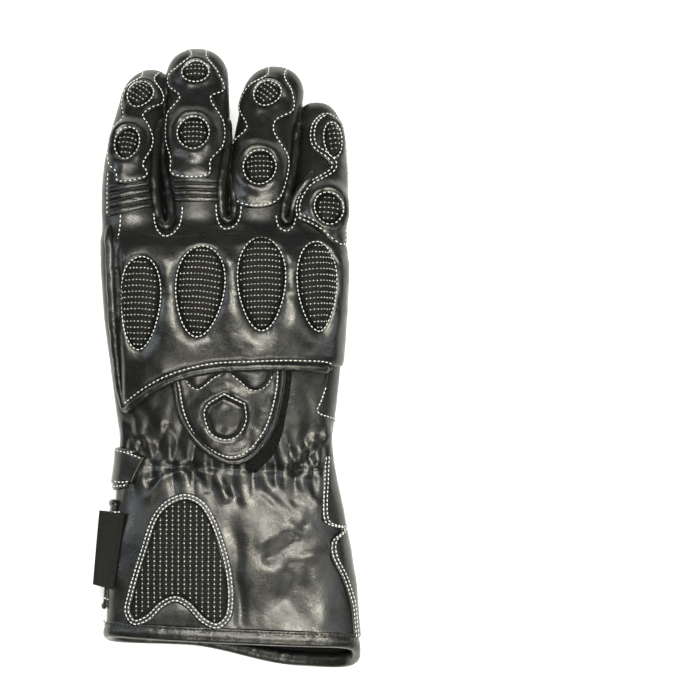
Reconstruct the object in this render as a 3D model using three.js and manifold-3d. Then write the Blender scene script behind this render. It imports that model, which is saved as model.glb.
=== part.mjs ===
// Motorcycle glove, right hand, lying palm down with the thumb folded under the palm.
// Millimetres. +Y runs to the fingertips, +X to the little finger, +Z up through the back of the hand.
import * as THREE from 'three';
import * as BufferGeometryUtils from 'three/addons/utils/BufferGeometryUtils.js';
import Module from 'manifold-3d';

const wasm = await Module();
wasm.setup();

// Driving sizes
const HAND_LENGTH = 104;        // wrist line to the roots of the fingers
const HAND_WIDTH = 115;         // across the knuckles
const HAND_HEIGHT = 28;         // palm to back of the hand at the knuckles
const CUFF_LENGTH = 90;         // wrist line to the hem on the back
const CUFF_WIDTH = 120;
const CUFF_HEIGHT = 34;
const CUFF_SLANT = 9;           // how much longer the cuff is under the palm side
const HAND_ROLL = 3.5;          // degrees, the index side lies higher, on the thumb
const FINGER_WIDTH = 30;
const FINGER_HEIGHT = 21;
const INDEX_LENGTH = 80;
const MIDDLE_LENGTH = 87.5;
const RING_LENGTH = 80;
const PINKY_LENGTH = 65;
const THUMB_LENGTH = 114;
const THUMB_WIDTH = 40;
const THUMB_HEIGHT = 15;
const LEATHER = 2;              // wall of the shells
const GAP = 0.3;                // clearance between neighbouring pieces
const PATCH = 1.6;              // single layer of leather or fabric sewn on
const PAD = 2.8;                // padded panel
const GUARD = 5.5;              // padded knuckle guard
const FLAP = 2.8;               // closure flap, the lowest piece of the cuff
const BINDING_WIDTH = 4;
const BINDING_RISE = 0.8;       // how far a binding stands above the piece that it edges
const HEM_WIDTH = 6;
const GATHERS = 6;              // folds that the elastic draws round the wrist
const GATHER_DEPTH = 1.5;
const GATHER_REACH = 14;        // how far the folds run from the wrist line
const RIBS = 4;                 // ribs of a stretch panel
const RIB_RISE = 1.4;
const QUILT_LINE = 1.4;         // width of a quilted groove in the heel pad
const LABEL_WIDTH = 15;
const LABEL_LENGTH = 38;
const LABEL_THICKNESS = 1;
const LABEL_TILT = 9;           // degrees
const FLATTEN = 0.8;            // how far the leather flattens where it rests
const BODY_POWER = 2.7;         // roundness of a section: 2 is an ellipse, more is squarer
const FINGER_POWER = 2.3;
const THUMB_POWER = 2.5;
const ROLL_REACH = 0.5;         // share of the hand over which the roll sets in
const ROOT_CENTRE = 0.46;       // middle of a finger's root, as a share of the hand's height
const TIP_CENTRE = 0.41;        // middle of its tip, as a share of the finger's height
const FINGER_BLUNT = 0.6;       // part of a finger's height that doesn't follow its width
const STRIP_DROP = 3;           // how far under the middle the side strip ends
const SHELL_SIDES = 24;
const SHELL_SIDES_INSIDE = 12;
const FINGER_SIDES = 10;
const FINGER_SIDES_INSIDE = 8;

// Heights worked out from the sizes above
const THUMB_FLOOR = PAD + GAP;                        // the thumb lies on its pad
const PALM_HEIGHT = THUMB_FLOOR + THUMB_HEIGHT + GAP; // the palm lies on the thumb
const CUFF_FLOOR = FLAP + GAP;                        // the cuff lies on its closure flap
const ROLL = THREE.MathUtils.degToRad(HAND_ROLL);

// Hand sections, from the wrist line: share of the hand's length, width and centre as shares of its
// width, underside as a share of the palm's height, height as a share of the hand's height.
const HAND_SECTIONS = [
  { along: 0.00, width: 0.87, centre: 0.004, under: 0.26, height: 1.07 },
  { along: 0.11, width: 0.885, centre: 0.006, under: 0.32, height: 1.07 },
  { along: 0.25, width: 0.91, centre: 0.005, under: 0.50, height: 1.05 },
  { along: 0.42, width: 0.94, centre: 0.006, under: 0.78, height: 1.03 },
  { along: 0.62, width: 0.975, centre: 0.003, under: 0.99, height: 1.00 },
  { along: 0.82, width: 0.995, centre: 0.000, under: 1.00, height: 1.00 },
  { along: 0.96, width: 1.00, centre: 0.000, under: 1.00, height: 0.97 },
  { along: 1.04, width: 0.985, centre: 0.000, under: 1.04, height: 0.86 },
];

// Cuff sections, from the wrist line to the hem: the same columns, with lengths as shares of the
// cuff's length and width. The last rows run past the hem only under the palm side, by the slant.
const CUFF_SECTIONS = [
  { along: 0.13, width: 0.865, centre: 0.006, height: 0.90, slant: 0 },
  { along: 0.30, width: 0.905, centre: 0.012, height: 0.95, slant: 0 },
  { along: 0.52, width: 0.955, centre: 0.022, height: 0.99, slant: 0.3 },
  { along: 0.77, width: 0.99, centre: 0.030, height: 1.01, slant: 0.65 },
  { along: 1.00, width: 1.01, centre: 0.032, height: 1.05, slant: 1 },
];

// Fingers: root as a share of the hand's width, lean in degrees, bow as a share of the length,
// widths at the root, middle and tip as shares of FINGER_WIDTH, depth of what is sewn under the tip.
const FINGERS = [
  {
    name: 'index', length: INDEX_LENGTH, root: -0.369, lean: 4.5, bow: -0.055,
    base: 0.95, mid: 0.83, tip: 0.74, under: 0,
  },
  {
    name: 'middle', length: MIDDLE_LENGTH, root: -0.104, lean: -0.8, bow: 0.005,
    base: 0.9, mid: 1.0, tip: 1.0, under: 0,
  },
  {
    name: 'ring', length: RING_LENGTH, root: 0.142, lean: 6.3, bow: -0.022,
    base: 0.88, mid: 1.0, tip: 0.96, under: 0,
  },
  {
    name: 'pinky', length: PINKY_LENGTH, root: 0.386, lean: 0.8, bow: 0.03,
    base: 0.9, mid: 0.76, tip: 0.68, under: PATCH + GAP,
  },
];

// Sections along one finger: share of its length, width share, height share, centre height as a share
// of the drop from the palm to the floor, and how much of an offset moves the section forward.
const FINGER_SECTIONS = [
  { along: -0.10, width: 1.0, height: 0.93, drop: 0.00, push: 0 },
  { along: 0.10, width: 1.0, height: 0.96, drop: 0.04, push: 0 },
  { along: 0.34, width: 1.0, height: 1.0, drop: 0.26, push: 0 },
  { along: 0.60, width: 1.0, height: 0.98, drop: 0.67, push: 0 },
  { along: 0.80, width: 0.99, height: 0.91, drop: 0.95, push: 0.15 },
  { along: 0.91, width: 0.85, height: 0.81, drop: 1.00, push: 0.5 },
  { along: 0.97, width: 0.58, height: 0.64, drop: 1.02, push: 0.8 },
  { along: 0.995, width: 0.28, height: 0.40, drop: 1.03, push: 0.95 },
];

// Thumb: root in shares of the hand, lean in degrees, bow as a share of the length.
const THUMB = { root: -0.315, start: 0.19, lean: 20, bow: -0.09 };
// Lift raises the underside of the root into the hand, as a share of the palm's height.
const THUMB_SECTIONS = [
  { along: -0.04, width: 0.62, height: 0.90, lift: 0.46, push: 0 },
  { along: 0.08, width: 0.84, height: 1.05, lift: 0.22, push: 0 },
  { along: 0.22, width: 1.0, height: 1.10, lift: 0.03, push: 0 },
  { along: 0.40, width: 1.0, height: 1.0, lift: 0, push: 0 },
  { along: 0.60, width: 1.0, height: 1.0, lift: 0, push: 0 },
  { along: 0.74, width: 0.97, height: 0.98, lift: 0, push: 0.05 },
  { along: 0.85, width: 0.86, height: 0.90, lift: 0, push: 0.3 },
  { along: 0.93, width: 0.68, height: 0.76, lift: 0, push: 0.6 },
  { along: 0.978, width: 0.42, height: 0.58, lift: 0, push: 0.85 },
];

const MATERIALS = {
  leather: new THREE.MeshStandardMaterial({ color: 0x17171a, roughness: 0.42, metalness: 0 }),
  suede: new THREE.MeshStandardMaterial({ color: 0x1e1e20, roughness: 0.9, metalness: 0 }),
  binding: new THREE.MeshStandardMaterial({ color: 0x101012, roughness: 0.5, metalness: 0 }),
  grip: new THREE.MeshStandardMaterial({ color: 0x3a3a38, roughness: 0.95, metalness: 0 }),
  loop: new THREE.MeshStandardMaterial({ color: 0x0c0c0d, roughness: 1, metalness: 0 }),
  tag: new THREE.MeshStandardMaterial({ color: 0x0a0a0a, roughness: 0.8, metalness: 0 }),
};

// A closed geometry with merged vertices becomes a solid that can be cut and joined.
function solid(geometry) {
  geometry.deleteAttribute('normal');
  geometry.deleteAttribute('uv');
  const merged = BufferGeometryUtils.mergeVertices(geometry, 1e-4);
  const vertProperties = new Float32Array(merged.attributes.position.array);
  const triVerts = new Uint32Array(merged.index.array);
  return new wasm.Manifold(new wasm.Mesh({ numProp: 3, vertProperties, triVerts }));
}

function largestBody(shape) {
  const bodies = shape.decompose();
  return bodies.reduce((best, body) => (body.volume() > best.volume() ? body : best));
}

const glove = new THREE.Group();

function addPiece(name, shape, material) {
  const mesh = largestBody(shape).getMesh();
  const geometry = new THREE.BufferGeometry();
  geometry.setAttribute('position', new THREE.BufferAttribute(mesh.vertProperties, 3));
  geometry.setIndex(new THREE.BufferAttribute(mesh.triVerts, 1));
  geometry.computeVertexNormals();
  const piece = new THREE.Mesh(geometry, material);
  piece.name = name;
  glove.add(piece);
  return piece;
}

const SMALLEST = 0.4;

// One ring of points round a superellipse section, grown by the offset on every side.
function sectionRing(section, offset, sides) {
  const ring = [];
  const heading = new THREE.Vector2(Math.sin(section.heading), Math.cos(section.heading));
  const sideways = new THREE.Vector2(heading.y, -heading.x);
  const power = 2 / section.power;
  for (let i = 0; i < sides; i += 1) {
    const angle = (2 * Math.PI * i) / sides;
    const cos = Math.cos(angle);
    const sin = Math.sin(angle);
    const fold = (section.fold || 0) * Math.cos(GATHERS * angle);
    const halfWidth = Math.max(section.halfWidth + offset + fold, SMALLEST);
    const halfHeight = Math.max(section.halfHeight + offset + fold, SMALLEST);
    const across = Math.sign(cos) * Math.abs(cos) ** power * halfWidth;
    const up = Math.sign(sin) * Math.abs(sin) ** power * halfHeight;
    const roll = section.roll || 0;
    const rolledAcross = across * Math.cos(roll) + up * Math.sin(roll);
    const rolledUp = up * Math.cos(roll) - across * Math.sin(roll);
    const lower = (1 - up / (section.halfHeight + offset)) / 2;
    const forward = (section.push || 0) * offset - (section.slant || 0) * lower;
    ring.push(new THREE.Vector3(
      section.x + sideways.x * rolledAcross + heading.x * forward,
      section.y + sideways.y * rolledAcross + heading.y * forward,
      Math.max(section.z + rolledUp, section.floor - offset),
    ));
  }
  return ring;
}

// A closed skin through the rings, with a fan over each end.
function loft(rings) {
  const sides = rings[0].length;
  const positions = [];
  const indices = [];
  for (const ring of rings) {
    for (const point of ring) {
      positions.push(point.x, point.y, point.z);
    }
  }
  for (let r = 0; r + 1 < rings.length; r += 1) {
    for (let i = 0; i < sides; i += 1) {
      const next = (i + 1) % sides;
      const a = r * sides + i;
      const b = r * sides + next;
      indices.push(a, b, b + sides, a, b + sides, a + sides);
    }
  }
  const addCap = (ring, first, reversed) => {
    const middle = ring.reduce((sum, point) => sum.add(point), new THREE.Vector3()).divideScalar(sides);
    const pole = positions.length / 3;
    positions.push(middle.x, middle.y, middle.z);
    for (let i = 0; i < sides; i += 1) {
      const next = (i + 1) % sides;
      if (reversed) {
        indices.push(pole, first + next, first + i);
      } else {
        indices.push(pole, first + i, first + next);
      }
    }
  };
  addCap(rings[0], 0, true);
  addCap(rings[rings.length - 1], (rings.length - 1) * sides, false);
  const geometry = new THREE.BufferGeometry();
  geometry.setAttribute('position', new THREE.Float32BufferAttribute(positions, 3));
  geometry.setIndex(indices);
  const shape = solid(geometry);
  if (shape.volume() > 0) {
    return shape;
  }
  for (let i = 0; i < indices.length; i += 3) {
    [indices[i], indices[i + 1]] = [indices[i + 1], indices[i]];
  }
  geometry.setIndex(indices);
  return solid(geometry);
}

function gatherDepth(distance) {
  return GATHER_DEPTH * Math.exp(-((distance / GATHER_REACH) ** 2));
}

// The hand without its fingers. A positive extra length carries it on past the wrist line.
function handSkin(offset, extra) {
  const sides = offset < 0 ? SHELL_SIDES_INSIDE : SHELL_SIDES;
  const rings = HAND_SECTIONS.map((row, number) => {
    const last = number === HAND_SECTIONS.length - 1;
    const first = number === 0;
    const halfHeight = (row.height * HAND_HEIGHT) / 2;
    return sectionRing({
      x: row.centre * HAND_WIDTH,
      y: row.along * HAND_LENGTH - (first ? extra : 0),
      z: row.under * PALM_HEIGHT + halfHeight,
      heading: 0,
      halfWidth: (row.width * HAND_WIDTH) / 2,
      halfHeight,
      power: BODY_POWER,
      roll: ROLL * Math.min(1, row.along / ROLL_REACH),
      fold: gatherDepth(row.along * HAND_LENGTH),
      push: last ? 1 : 0,
      floor: CUFF_FLOOR,
    }, offset, sides);
  });
  return loft(rings);
}

// The cuff, from the wrist line to the hem. Extra lengths carry either end on.
function cuffSkin(offset, wristExtra, hemExtra) {
  const wrist = HAND_SECTIONS[0];
  const wristHeight = (wrist.height * HAND_HEIGHT) / 2;
  const sections = [{
    x: wrist.centre * HAND_WIDTH,
    y: wristExtra,
    z: wrist.under * PALM_HEIGHT + wristHeight,
    heading: 0,
    halfWidth: (wrist.width * HAND_WIDTH) / 2,
    halfHeight: wristHeight,
    power: BODY_POWER,
    fold: gatherDepth(0),
    floor: CUFF_FLOOR,
  }];
  CUFF_SECTIONS.forEach((row, number) => {
    const last = number === CUFF_SECTIONS.length - 1;
    const halfHeight = (row.height * CUFF_HEIGHT) / 2;
    sections.push({
      x: row.centre * CUFF_WIDTH,
      y: -row.along * CUFF_LENGTH - (last ? hemExtra : 0),
      z: CUFF_FLOOR + halfHeight - FLATTEN,
      heading: 0,
      halfWidth: (row.width * CUFF_WIDTH) / 2,
      halfHeight,
      power: BODY_POWER,
      slant: row.slant * CUFF_SLANT,
      fold: gatherDepth(row.along * CUFF_LENGTH),
      floor: CUFF_FLOOR,
    });
  });
  const sides = offset < 0 ? SHELL_SIDES_INSIDE : SHELL_SIDES;
  return loft(sections.map((section) => sectionRing(section, offset, sides)));
}

// A point of a finger's centre line: along as a share of its length, side in millimetres.
function fingerPoint(finger, along, side) {
  const lean = THREE.MathUtils.degToRad(finger.lean);
  const heading = lean + Math.atan(4 * finger.bow * (1 - 2 * Math.min(Math.max(along, 0), 1)));
  const bow = 4 * finger.bow * finger.length * along * (1 - along);
  const reach = along * finger.length;
  const x = finger.rootX + Math.sin(lean) * reach + Math.cos(lean) * bow + Math.cos(heading) * side;
  const y = finger.rootY + Math.cos(lean) * reach - Math.sin(lean) * bow - Math.sin(heading) * side;
  return { x, y, heading };
}

for (const finger of FINGERS) {
  finger.rootX = finger.root * HAND_WIDTH;
  finger.rootY = HAND_LENGTH;
}

// The width of a finger at a share of its length, as a share of FINGER_WIDTH.
function fingerWidth(finger, along) {
  const share = Math.min(Math.max(along, 0), 0.8);
  if (share < 0.4) {
    return finger.base + ((finger.mid - finger.base) * share) / 0.4;
  }
  return finger.mid + ((finger.tip - finger.mid) * (share - 0.4)) / 0.4;
}

// A wide finger is a little higher, too.
function fingerBlunt(finger, along) {
  return FINGER_BLUNT + (1 - FINGER_BLUNT) * fingerWidth(finger, along);
}

function fingerSkin(finger, offset) {
  const rootCentre = PALM_HEIGHT + HAND_HEIGHT * ROOT_CENTRE - finger.rootX * Math.sin(ROLL);
  const tipCentre = FINGER_HEIGHT * TIP_CENTRE + finger.under;
  const rings = FINGER_SECTIONS.map((row) => {
    const { x, y, heading } = fingerPoint(finger, row.along, 0);
    return sectionRing({
      x,
      y,
      z: rootCentre + (tipCentre - rootCentre) * row.drop,
      heading,
      halfWidth: (row.width * fingerWidth(finger, row.along) * FINGER_WIDTH) / 2,
      halfHeight: (row.height * FINGER_HEIGHT * fingerBlunt(finger, row.along)) / 2,
      power: FINGER_POWER,
      push: row.push,
      floor: finger.under,
    }, offset, offset < 0 ? FINGER_SIDES_INSIDE : FINGER_SIDES);
  });
  return loft(rings);
}

const thumb = {
  rootX: THUMB.root * HAND_WIDTH,
  rootY: THUMB.start * HAND_LENGTH,
  length: THUMB_LENGTH,
  lean: THUMB.lean,
  bow: THUMB.bow,
};

function thumbSkin(offset) {
  const rings = THUMB_SECTIONS.map((row) => {
    const { x, y, heading } = fingerPoint(thumb, row.along, 0);
    const halfHeight = (row.height * THUMB_HEIGHT) / 2;
    return sectionRing({
      x,
      y,
      z: THUMB_FLOOR + halfHeight + row.lift * PALM_HEIGHT - FLATTEN,
      heading,
      halfWidth: (row.width * THUMB_WIDTH) / 2,
      halfHeight,
      power: THUMB_POWER,
      push: row.push,
      floor: THUMB_FLOOR,
    }, offset, offset < 0 ? FINGER_SIDES_INSIDE : FINGER_SIDES + 2);
  });
  return loft(rings);
}

// Shells
const handInside = handSkin(-LEATHER, LEATHER);
const thumbOutside = thumbSkin(0);
let handShell = handSkin(0, -GAP).subtract(handInside).subtract(thumbSkin(GAP));
for (const finger of FINGERS) {
  handShell = handShell.subtract(fingerSkin(finger, GAP));
}
addPiece('hand_shell', handShell, MATERIALS.leather);
for (const finger of FINGERS) {
  const stall = fingerSkin(finger, 0).subtract(fingerSkin(finger, -LEATHER)).subtract(handInside);
  addPiece(`finger_${finger.name}_stall`, stall, MATERIALS.leather);
}
const thumbShell = thumbOutside.subtract(thumbSkin(-LEATHER)).subtract(handInside);
addPiece('thumb_stall', thumbShell, MATERIALS.leather);
const cuffShell = cuffSkin(0, 0, 0).subtract(cuffSkin(-LEATHER, LEATHER, LEATHER));
addPiece('cuff_shell', cuffShell, MATERIALS.leather);

// Middle height of the hand and cuff at a distance from the wrist line.
function shellMiddle(y) {
  const stations = [];
  for (const row of [...CUFF_SECTIONS].reverse()) {
    stations.push({ y: -row.along * CUFF_LENGTH, z: CUFF_FLOOR + (row.height * CUFF_HEIGHT) / 2 });
  }
  for (const row of HAND_SECTIONS) {
    const z = row.under * PALM_HEIGHT + (row.height * HAND_HEIGHT) / 2;
    stations.push({ y: row.along * HAND_LENGTH, z });
  }
  return interpolate(stations, 'y', 'z', y);
}

function interpolate(rows, from, to, value) {
  if (value <= rows[0][from]) {
    return rows[0][to];
  }
  for (let i = 0; i + 1 < rows.length; i += 1) {
    if (value <= rows[i + 1][from]) {
      const share = (value - rows[i][from]) / (rows[i + 1][from] - rows[i][from]);
      return rows[i][to] + share * (rows[i + 1][to] - rows[i][to]);
    }
  }
  return rows[rows.length - 1][to];
}

// Middle height of one finger at a distance from the wrist line.
function fingerMiddle(finger, y) {
  const along = (y - finger.rootY) / finger.length;
  const rootCentre = PALM_HEIGHT + HAND_HEIGHT * ROOT_CENTRE - finger.rootX * Math.sin(ROLL);
  const tipCentre = FINGER_HEIGHT * TIP_CENTRE + finger.under;
  return rootCentre + (tipCentre - rootCentre) * interpolate(FINGER_SECTIONS, 'along', 'drop', along);
}

function fingerNamed(name) {
  return FINGERS.find((finger) => finger.name === name);
}

// Places in plan, from shares of the sizes that they follow.
const onHand = (x, y) => new THREE.Vector2(x * HAND_WIDTH, y * HAND_LENGTH);
const onCuff = (x, y) => new THREE.Vector2(x * CUFF_WIDTH, y * CUFF_LENGTH);
function onFinger(finger, along, side) {
  const { x, y } = fingerPoint(finger, along, side * FINGER_WIDTH);
  return new THREE.Vector2(x, y);
}

// A smooth closed outline through a few points.
function smooth(points, count) {
  const places = points.map((p) => new THREE.Vector3(p.x, p.y, 0));
  const curve = new THREE.CatmullRomCurve3(places, true, 'centripetal');
  return curve.getSpacedPoints(count).slice(0, count).map((p) => new THREE.Vector2(p.x, p.y));
}

function ellipse(centre, width, length, tilt, count, taper = 0) {
  const points = [];
  for (let i = 0; i < count; i += 1) {
    const angle = (2 * Math.PI * i) / count;
    const x = (width / 2) * Math.cos(angle) * (1 + taper * Math.sin(angle));
    const y = (length / 2) * Math.sin(angle);
    const turn = THREE.MathUtils.degToRad(tilt);
    const turned = new THREE.Vector2(x, y).rotateAround(new THREE.Vector2(), turn);
    points.push(turned.add(centre));
  }
  return points;
}

// The outline moved outward by a distance, or inward by a negative one.
function grow(points, distance) {
  const turn = THREE.ShapeUtils.area(points) > 0 ? 1 : -1;
  return points.map((point, i) => {
    const before = points[(i + points.length - 1) % points.length];
    const after = points[(i + 1) % points.length];
    const inEdge = point.clone().sub(before).normalize();
    const outEdge = after.clone().sub(point).normalize();
    const inNormal = new THREE.Vector2(inEdge.y, -inEdge.x);
    const outNormal = new THREE.Vector2(outEdge.y, -outEdge.x);
    const mitre = inNormal.add(outNormal).normalize();
    const stretch = Math.min(1 / Math.max(mitre.dot(outNormal), 0.5), 2);
    return point.clone().addScaledVector(mitre, turn * distance * stretch);
  });
}

// The space over or under an outline, from the middle of the glove outward.
const ABOVE = 80;
const BELOW = -20;
function column(points, half, middle) {
  const geometry = new THREE.ExtrudeGeometry(new THREE.Shape(points), { depth: 1, bevelEnabled: false });
  const position = geometry.attributes.position;
  for (let i = 0; i < position.count; i += 1) {
    const high = position.getZ(i) > 0.5;
    const split = middle(position.getX(i), position.getY(i));
    const top = half === 'palm' ? split : ABOVE;
    const bottom = half === 'back' ? split : BELOW;
    position.setZ(i, high ? top : bottom);
  }
  return solid(geometry);
}

// The skin that a layer lies on. The inner side of a layer runs on past the open ends of the shells.
const OPEN_END = 3;
const skinCache = new Map();
function skin(kind, offset, endExtra) {
  const key = `${kind} ${offset.toFixed(3)} ${endExtra}`;
  if (!skinCache.has(key)) {
    skinCache.set(key, makeSkin(kind, offset, endExtra));
  }
  return skinCache.get(key);
}

function makeSkin(kind, offset, endExtra) {
  if (kind === 'thumb') {
    return thumbSkin(offset);
  }
  if (kind === 'cuff') {
    return cuffSkin(offset, endExtra, endExtra);
  }
  if (kind === 'wrist') {
    return handSkin(offset, 1).add(cuffSkin(offset, 0, endExtra));
  }
  if (kind === 'hand') {
    return handSkin(offset, 0);
  }
  const finger = fingerNamed(kind.replace('hand and ', ''));
  const skinOfFinger = fingerSkin(finger, offset);
  return kind.startsWith('hand') ? skinOfFinger.add(handSkin(offset, 0)) : skinOfFinger;
}

const shellSplit = (x, y) => shellMiddle(y);

// A sewn-on layer: the part between two offsets of a skin that lies within an outline.
function layer(kind, points, low, high, half, middle = shellSplit) {
  return skin(kind, high, 0).subtract(skin(kind, low, OPEN_END)).intersect(column(points, half, middle));
}

const SEAT = GAP;

// Pads of the fingers: share of the finger's length, left and right edge as shares of FINGER_WIDTH.
const FINGER_PADS = {
  index: [
    { along: 0.33, left: -0.18, right: 0.10 },
    { along: 0.44, left: -0.34, right: 0.24 },
    { along: 0.57, left: -0.35, right: 0.30 },
    { along: 0.71, left: -0.23, right: 0.10 },
    { along: 0.81, left: -0.35, right: 0.33 },
    { along: 0.91, left: -0.27, right: 0.27 },
    { along: 0.97, left: -0.10, right: 0.12 },
  ],
  middle: [
    { along: 0.31, left: -0.34, right: 0.22 },
    { along: 0.39, left: -0.35, right: 0.26 },
    { along: 0.58, left: -0.48, right: 0.45 },
    { along: 0.745, left: -0.25, right: 0.22 },
    { along: 0.83, left: -0.45, right: 0.43 },
    { along: 0.93, left: -0.28, right: 0.28 },
    { along: 0.98, left: -0.10, right: 0.10 },
  ],
  ring: [
    { along: 0.18, left: -0.28, right: 0.22 },
    { along: 0.28, left: -0.44, right: 0.34 },
    { along: 0.465, left: -0.50, right: 0.42 },
    { along: 0.63, left: -0.28, right: 0.12 },
    { along: 0.77, left: -0.46, right: 0.37 },
    { along: 0.89, left: -0.35, right: 0.30 },
    { along: 0.97, left: -0.10, right: 0.12 },
  ],
  pinky: [
    { along: -0.02, left: 0.28, right: 0.60 },
    { along: 0.12, left: -0.25, right: 0.60 },
    { along: 0.33, left: -0.30, right: 0.60 },
    { along: 0.52, left: 0.16, right: 0.60 },
    { along: 0.69, left: -0.14, right: 0.60 },
    { along: 0.86, left: -0.13, right: 0.60 },
    { along: 0.95, left: 0.04, right: 0.24 },
  ],
};

// Grip inserts of the fingers: place on the finger, sizes as shares of FINGER_WIDTH, tilt in degrees.
const FINGER_INSERTS = [
  { finger: 'index', place: 'tip', along: 0.84, side: -0.03, width: 0.40, length: 0.46, tilt: -14 },
  { finger: 'index', place: 'mid', along: 0.53, side: -0.05, width: 0.40, length: 0.52, tilt: -4 },
  { finger: 'middle', place: 'tip', along: 0.86, side: -0.02, width: 0.44, length: 0.38, tilt: 0 },
  { finger: 'middle', place: 'mid', along: 0.533, side: -0.02, width: 0.56, length: 0.56, tilt: 0 },
  { finger: 'ring', place: 'tip', along: 0.82, side: -0.05, width: 0.42, length: 0.46, tilt: -24 },
  { finger: 'ring', place: 'mid', along: 0.40, side: 0.0, width: 0.56, length: 0.56, tilt: 0 },
  { finger: 'pinky', place: 'tip', along: 0.72, side: 0.18, width: 0.28, length: 0.56, tilt: 4 },
  { finger: 'pinky', place: 'base', along: 0.22, side: 0.14, width: 0.44, length: 0.50, tilt: 0 },
];
const INSERT_POINTS = 8;
const EGG_POINTS = 12;

for (const finger of FINGERS) {
  const rows = FINGER_PADS[finger.name];
  const left = rows.map((row) => onFinger(finger, row.along, row.left));
  const right = rows.map((row) => onFinger(finger, row.along, row.right)).reverse();
  const split = (x, y) => fingerMiddle(finger, y);
  const outline = [...left, ...right];
  const carrier = rows[0].along < 0.1 ? `hand and ${finger.name}` : finger.name;
  let pad = layer(carrier, outline, SEAT, SEAT + PATCH + BINDING_RISE, 'back', split);
  for (const row of FINGER_INSERTS.filter((insert) => insert.finger === finger.name)) {
    const centre = onFinger(finger, row.along, row.side);
    const width = row.width * FINGER_WIDTH;
    const length = row.length * FINGER_WIDTH;
    const tilt = row.tilt - finger.lean;
    const window = ellipse(centre, width + 2 * GAP, length + 2 * GAP, tilt, INSERT_POINTS);
    pad = pad.subtract(column(window, 'back', split));
    const outlineOfInsert = ellipse(centre, width, length, tilt, INSERT_POINTS);
    const insert = layer(finger.name, outlineOfInsert, SEAT, SEAT + PATCH, 'back', split);
    addPiece(`finger_insert_${finger.name}_${row.place}`, insert, MATERIALS.grip);
  }
  addPiece(`finger_pad_${finger.name}`, pad, MATERIALS.leather);
}

// Stretch panels: a thin base across the finger with raised ribs.
const STRETCH_PANELS = [
  { finger: 'index', from: 0.11, to: 0.29, left: -0.33, right: 0.32 },
  { finger: 'middle', from: 0.13, to: 0.275, left: -0.33, right: 0.33 },
];
const RIB_SHARE = 0.64;         // width of a rib as a share of the pitch
for (const row of STRETCH_PANELS) {
  const finger = fingerNamed(row.finger);
  const split = (x, y) => fingerMiddle(finger, y);
  const strip = (from, to) => [
    onFinger(finger, from, row.left),
    onFinger(finger, from, row.right),
    onFinger(finger, to, row.right),
    onFinger(finger, to, row.left),
  ];
  const base = PATCH / 2;
  let panel = layer(finger.name, strip(row.from, row.to), SEAT, SEAT + base, 'back', split);
  const pitch = (row.to - row.from) / RIBS;
  for (let i = 0; i < RIBS; i += 1) {
    const start = row.from + (i + (1 - RIB_SHARE) / 2) * pitch;
    const rib = strip(start, start + RIB_SHARE * pitch);
    panel = panel.add(layer(finger.name, rib, SEAT, SEAT + base + RIB_RISE, 'back', split));
  }
  addPiece(`stretch_panel_${row.finger}`, panel, MATERIALS.leather);
}

// Knuckle guard: a padded shield over the knuckles with four windows.
const GUARD_TOP = [
  onHand(0.56, 0.93), onHand(0.40, 0.985), onHand(0.20, 1.01), onHand(0.0, 1.0), onHand(-0.24, 0.975),
  onHand(-0.43, 0.965),
];
const GUARD_EDGE = [
  onHand(-0.41, 0.245), onHand(-0.20, 0.361), onHand(0.006, 0.421), onHand(0.21, 0.435),
  onHand(0.40, 0.425), onHand(0.56, 0.40),
];
const guardOutline = [...GUARD_TOP, onHand(-0.435, 0.6), ...GUARD_EDGE];
const bindingBand = [
  ...GUARD_EDGE.map((p) => new THREE.Vector2(p.x, p.y - GAP)),
  ...GUARD_EDGE.map((p) => new THREE.Vector2(p.x, p.y - GAP - BINDING_WIDTH)).reverse(),
];
const KNUCKLE_INSERTS = [
  { name: 'index', side: -0.345, top: 0.912, bottom: 0.468, width: 0.165, tilt: 0 },
  { name: 'middle', side: -0.096, top: 0.954, bottom: 0.528, width: 0.21, tilt: 1 },
  { name: 'ring', side: 0.158, top: 0.975, bottom: 0.556, width: 0.205, tilt: 0 },
  { name: 'pinky', side: 0.40, top: 0.955, bottom: 0.556, width: 0.18, tilt: 0 },
];
const EGG_TAPER = 0.16;

// Wrist tongue: a tab that comes out from under the guard and crosses the wrist line.
const tongueOutline = smooth([
  onHand(-0.215, 0.40), onHand(-0.20, 0.26), onHand(-0.165, 0.106), onHand(-0.08, -0.01),
  onHand(0.031, -0.055),
  onHand(0.12, -0.01), onHand(0.165, 0.09), onHand(0.225, 0.30), onHand(0.245, 0.46),
  onHand(0.0, 0.455),
], 16);
const tongueInner = grow(tongueOutline, -BINDING_WIDTH);
const tonguePadOutline = [
  onHand(-0.002, 0.285), onHand(0.085, 0.225), onHand(0.083, 0.148), onHand(0.05, 0.074),
  onHand(0.002, 0.055),
  onHand(-0.05, 0.083), onHand(-0.08, 0.16), onHand(-0.08, 0.23),
];
const bindingHeight = PATCH + BINDING_RISE;
const tongueSpace = layer('wrist', grow(tongueOutline, GAP), 0, SEAT + bindingHeight + GAP, 'back');

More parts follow.
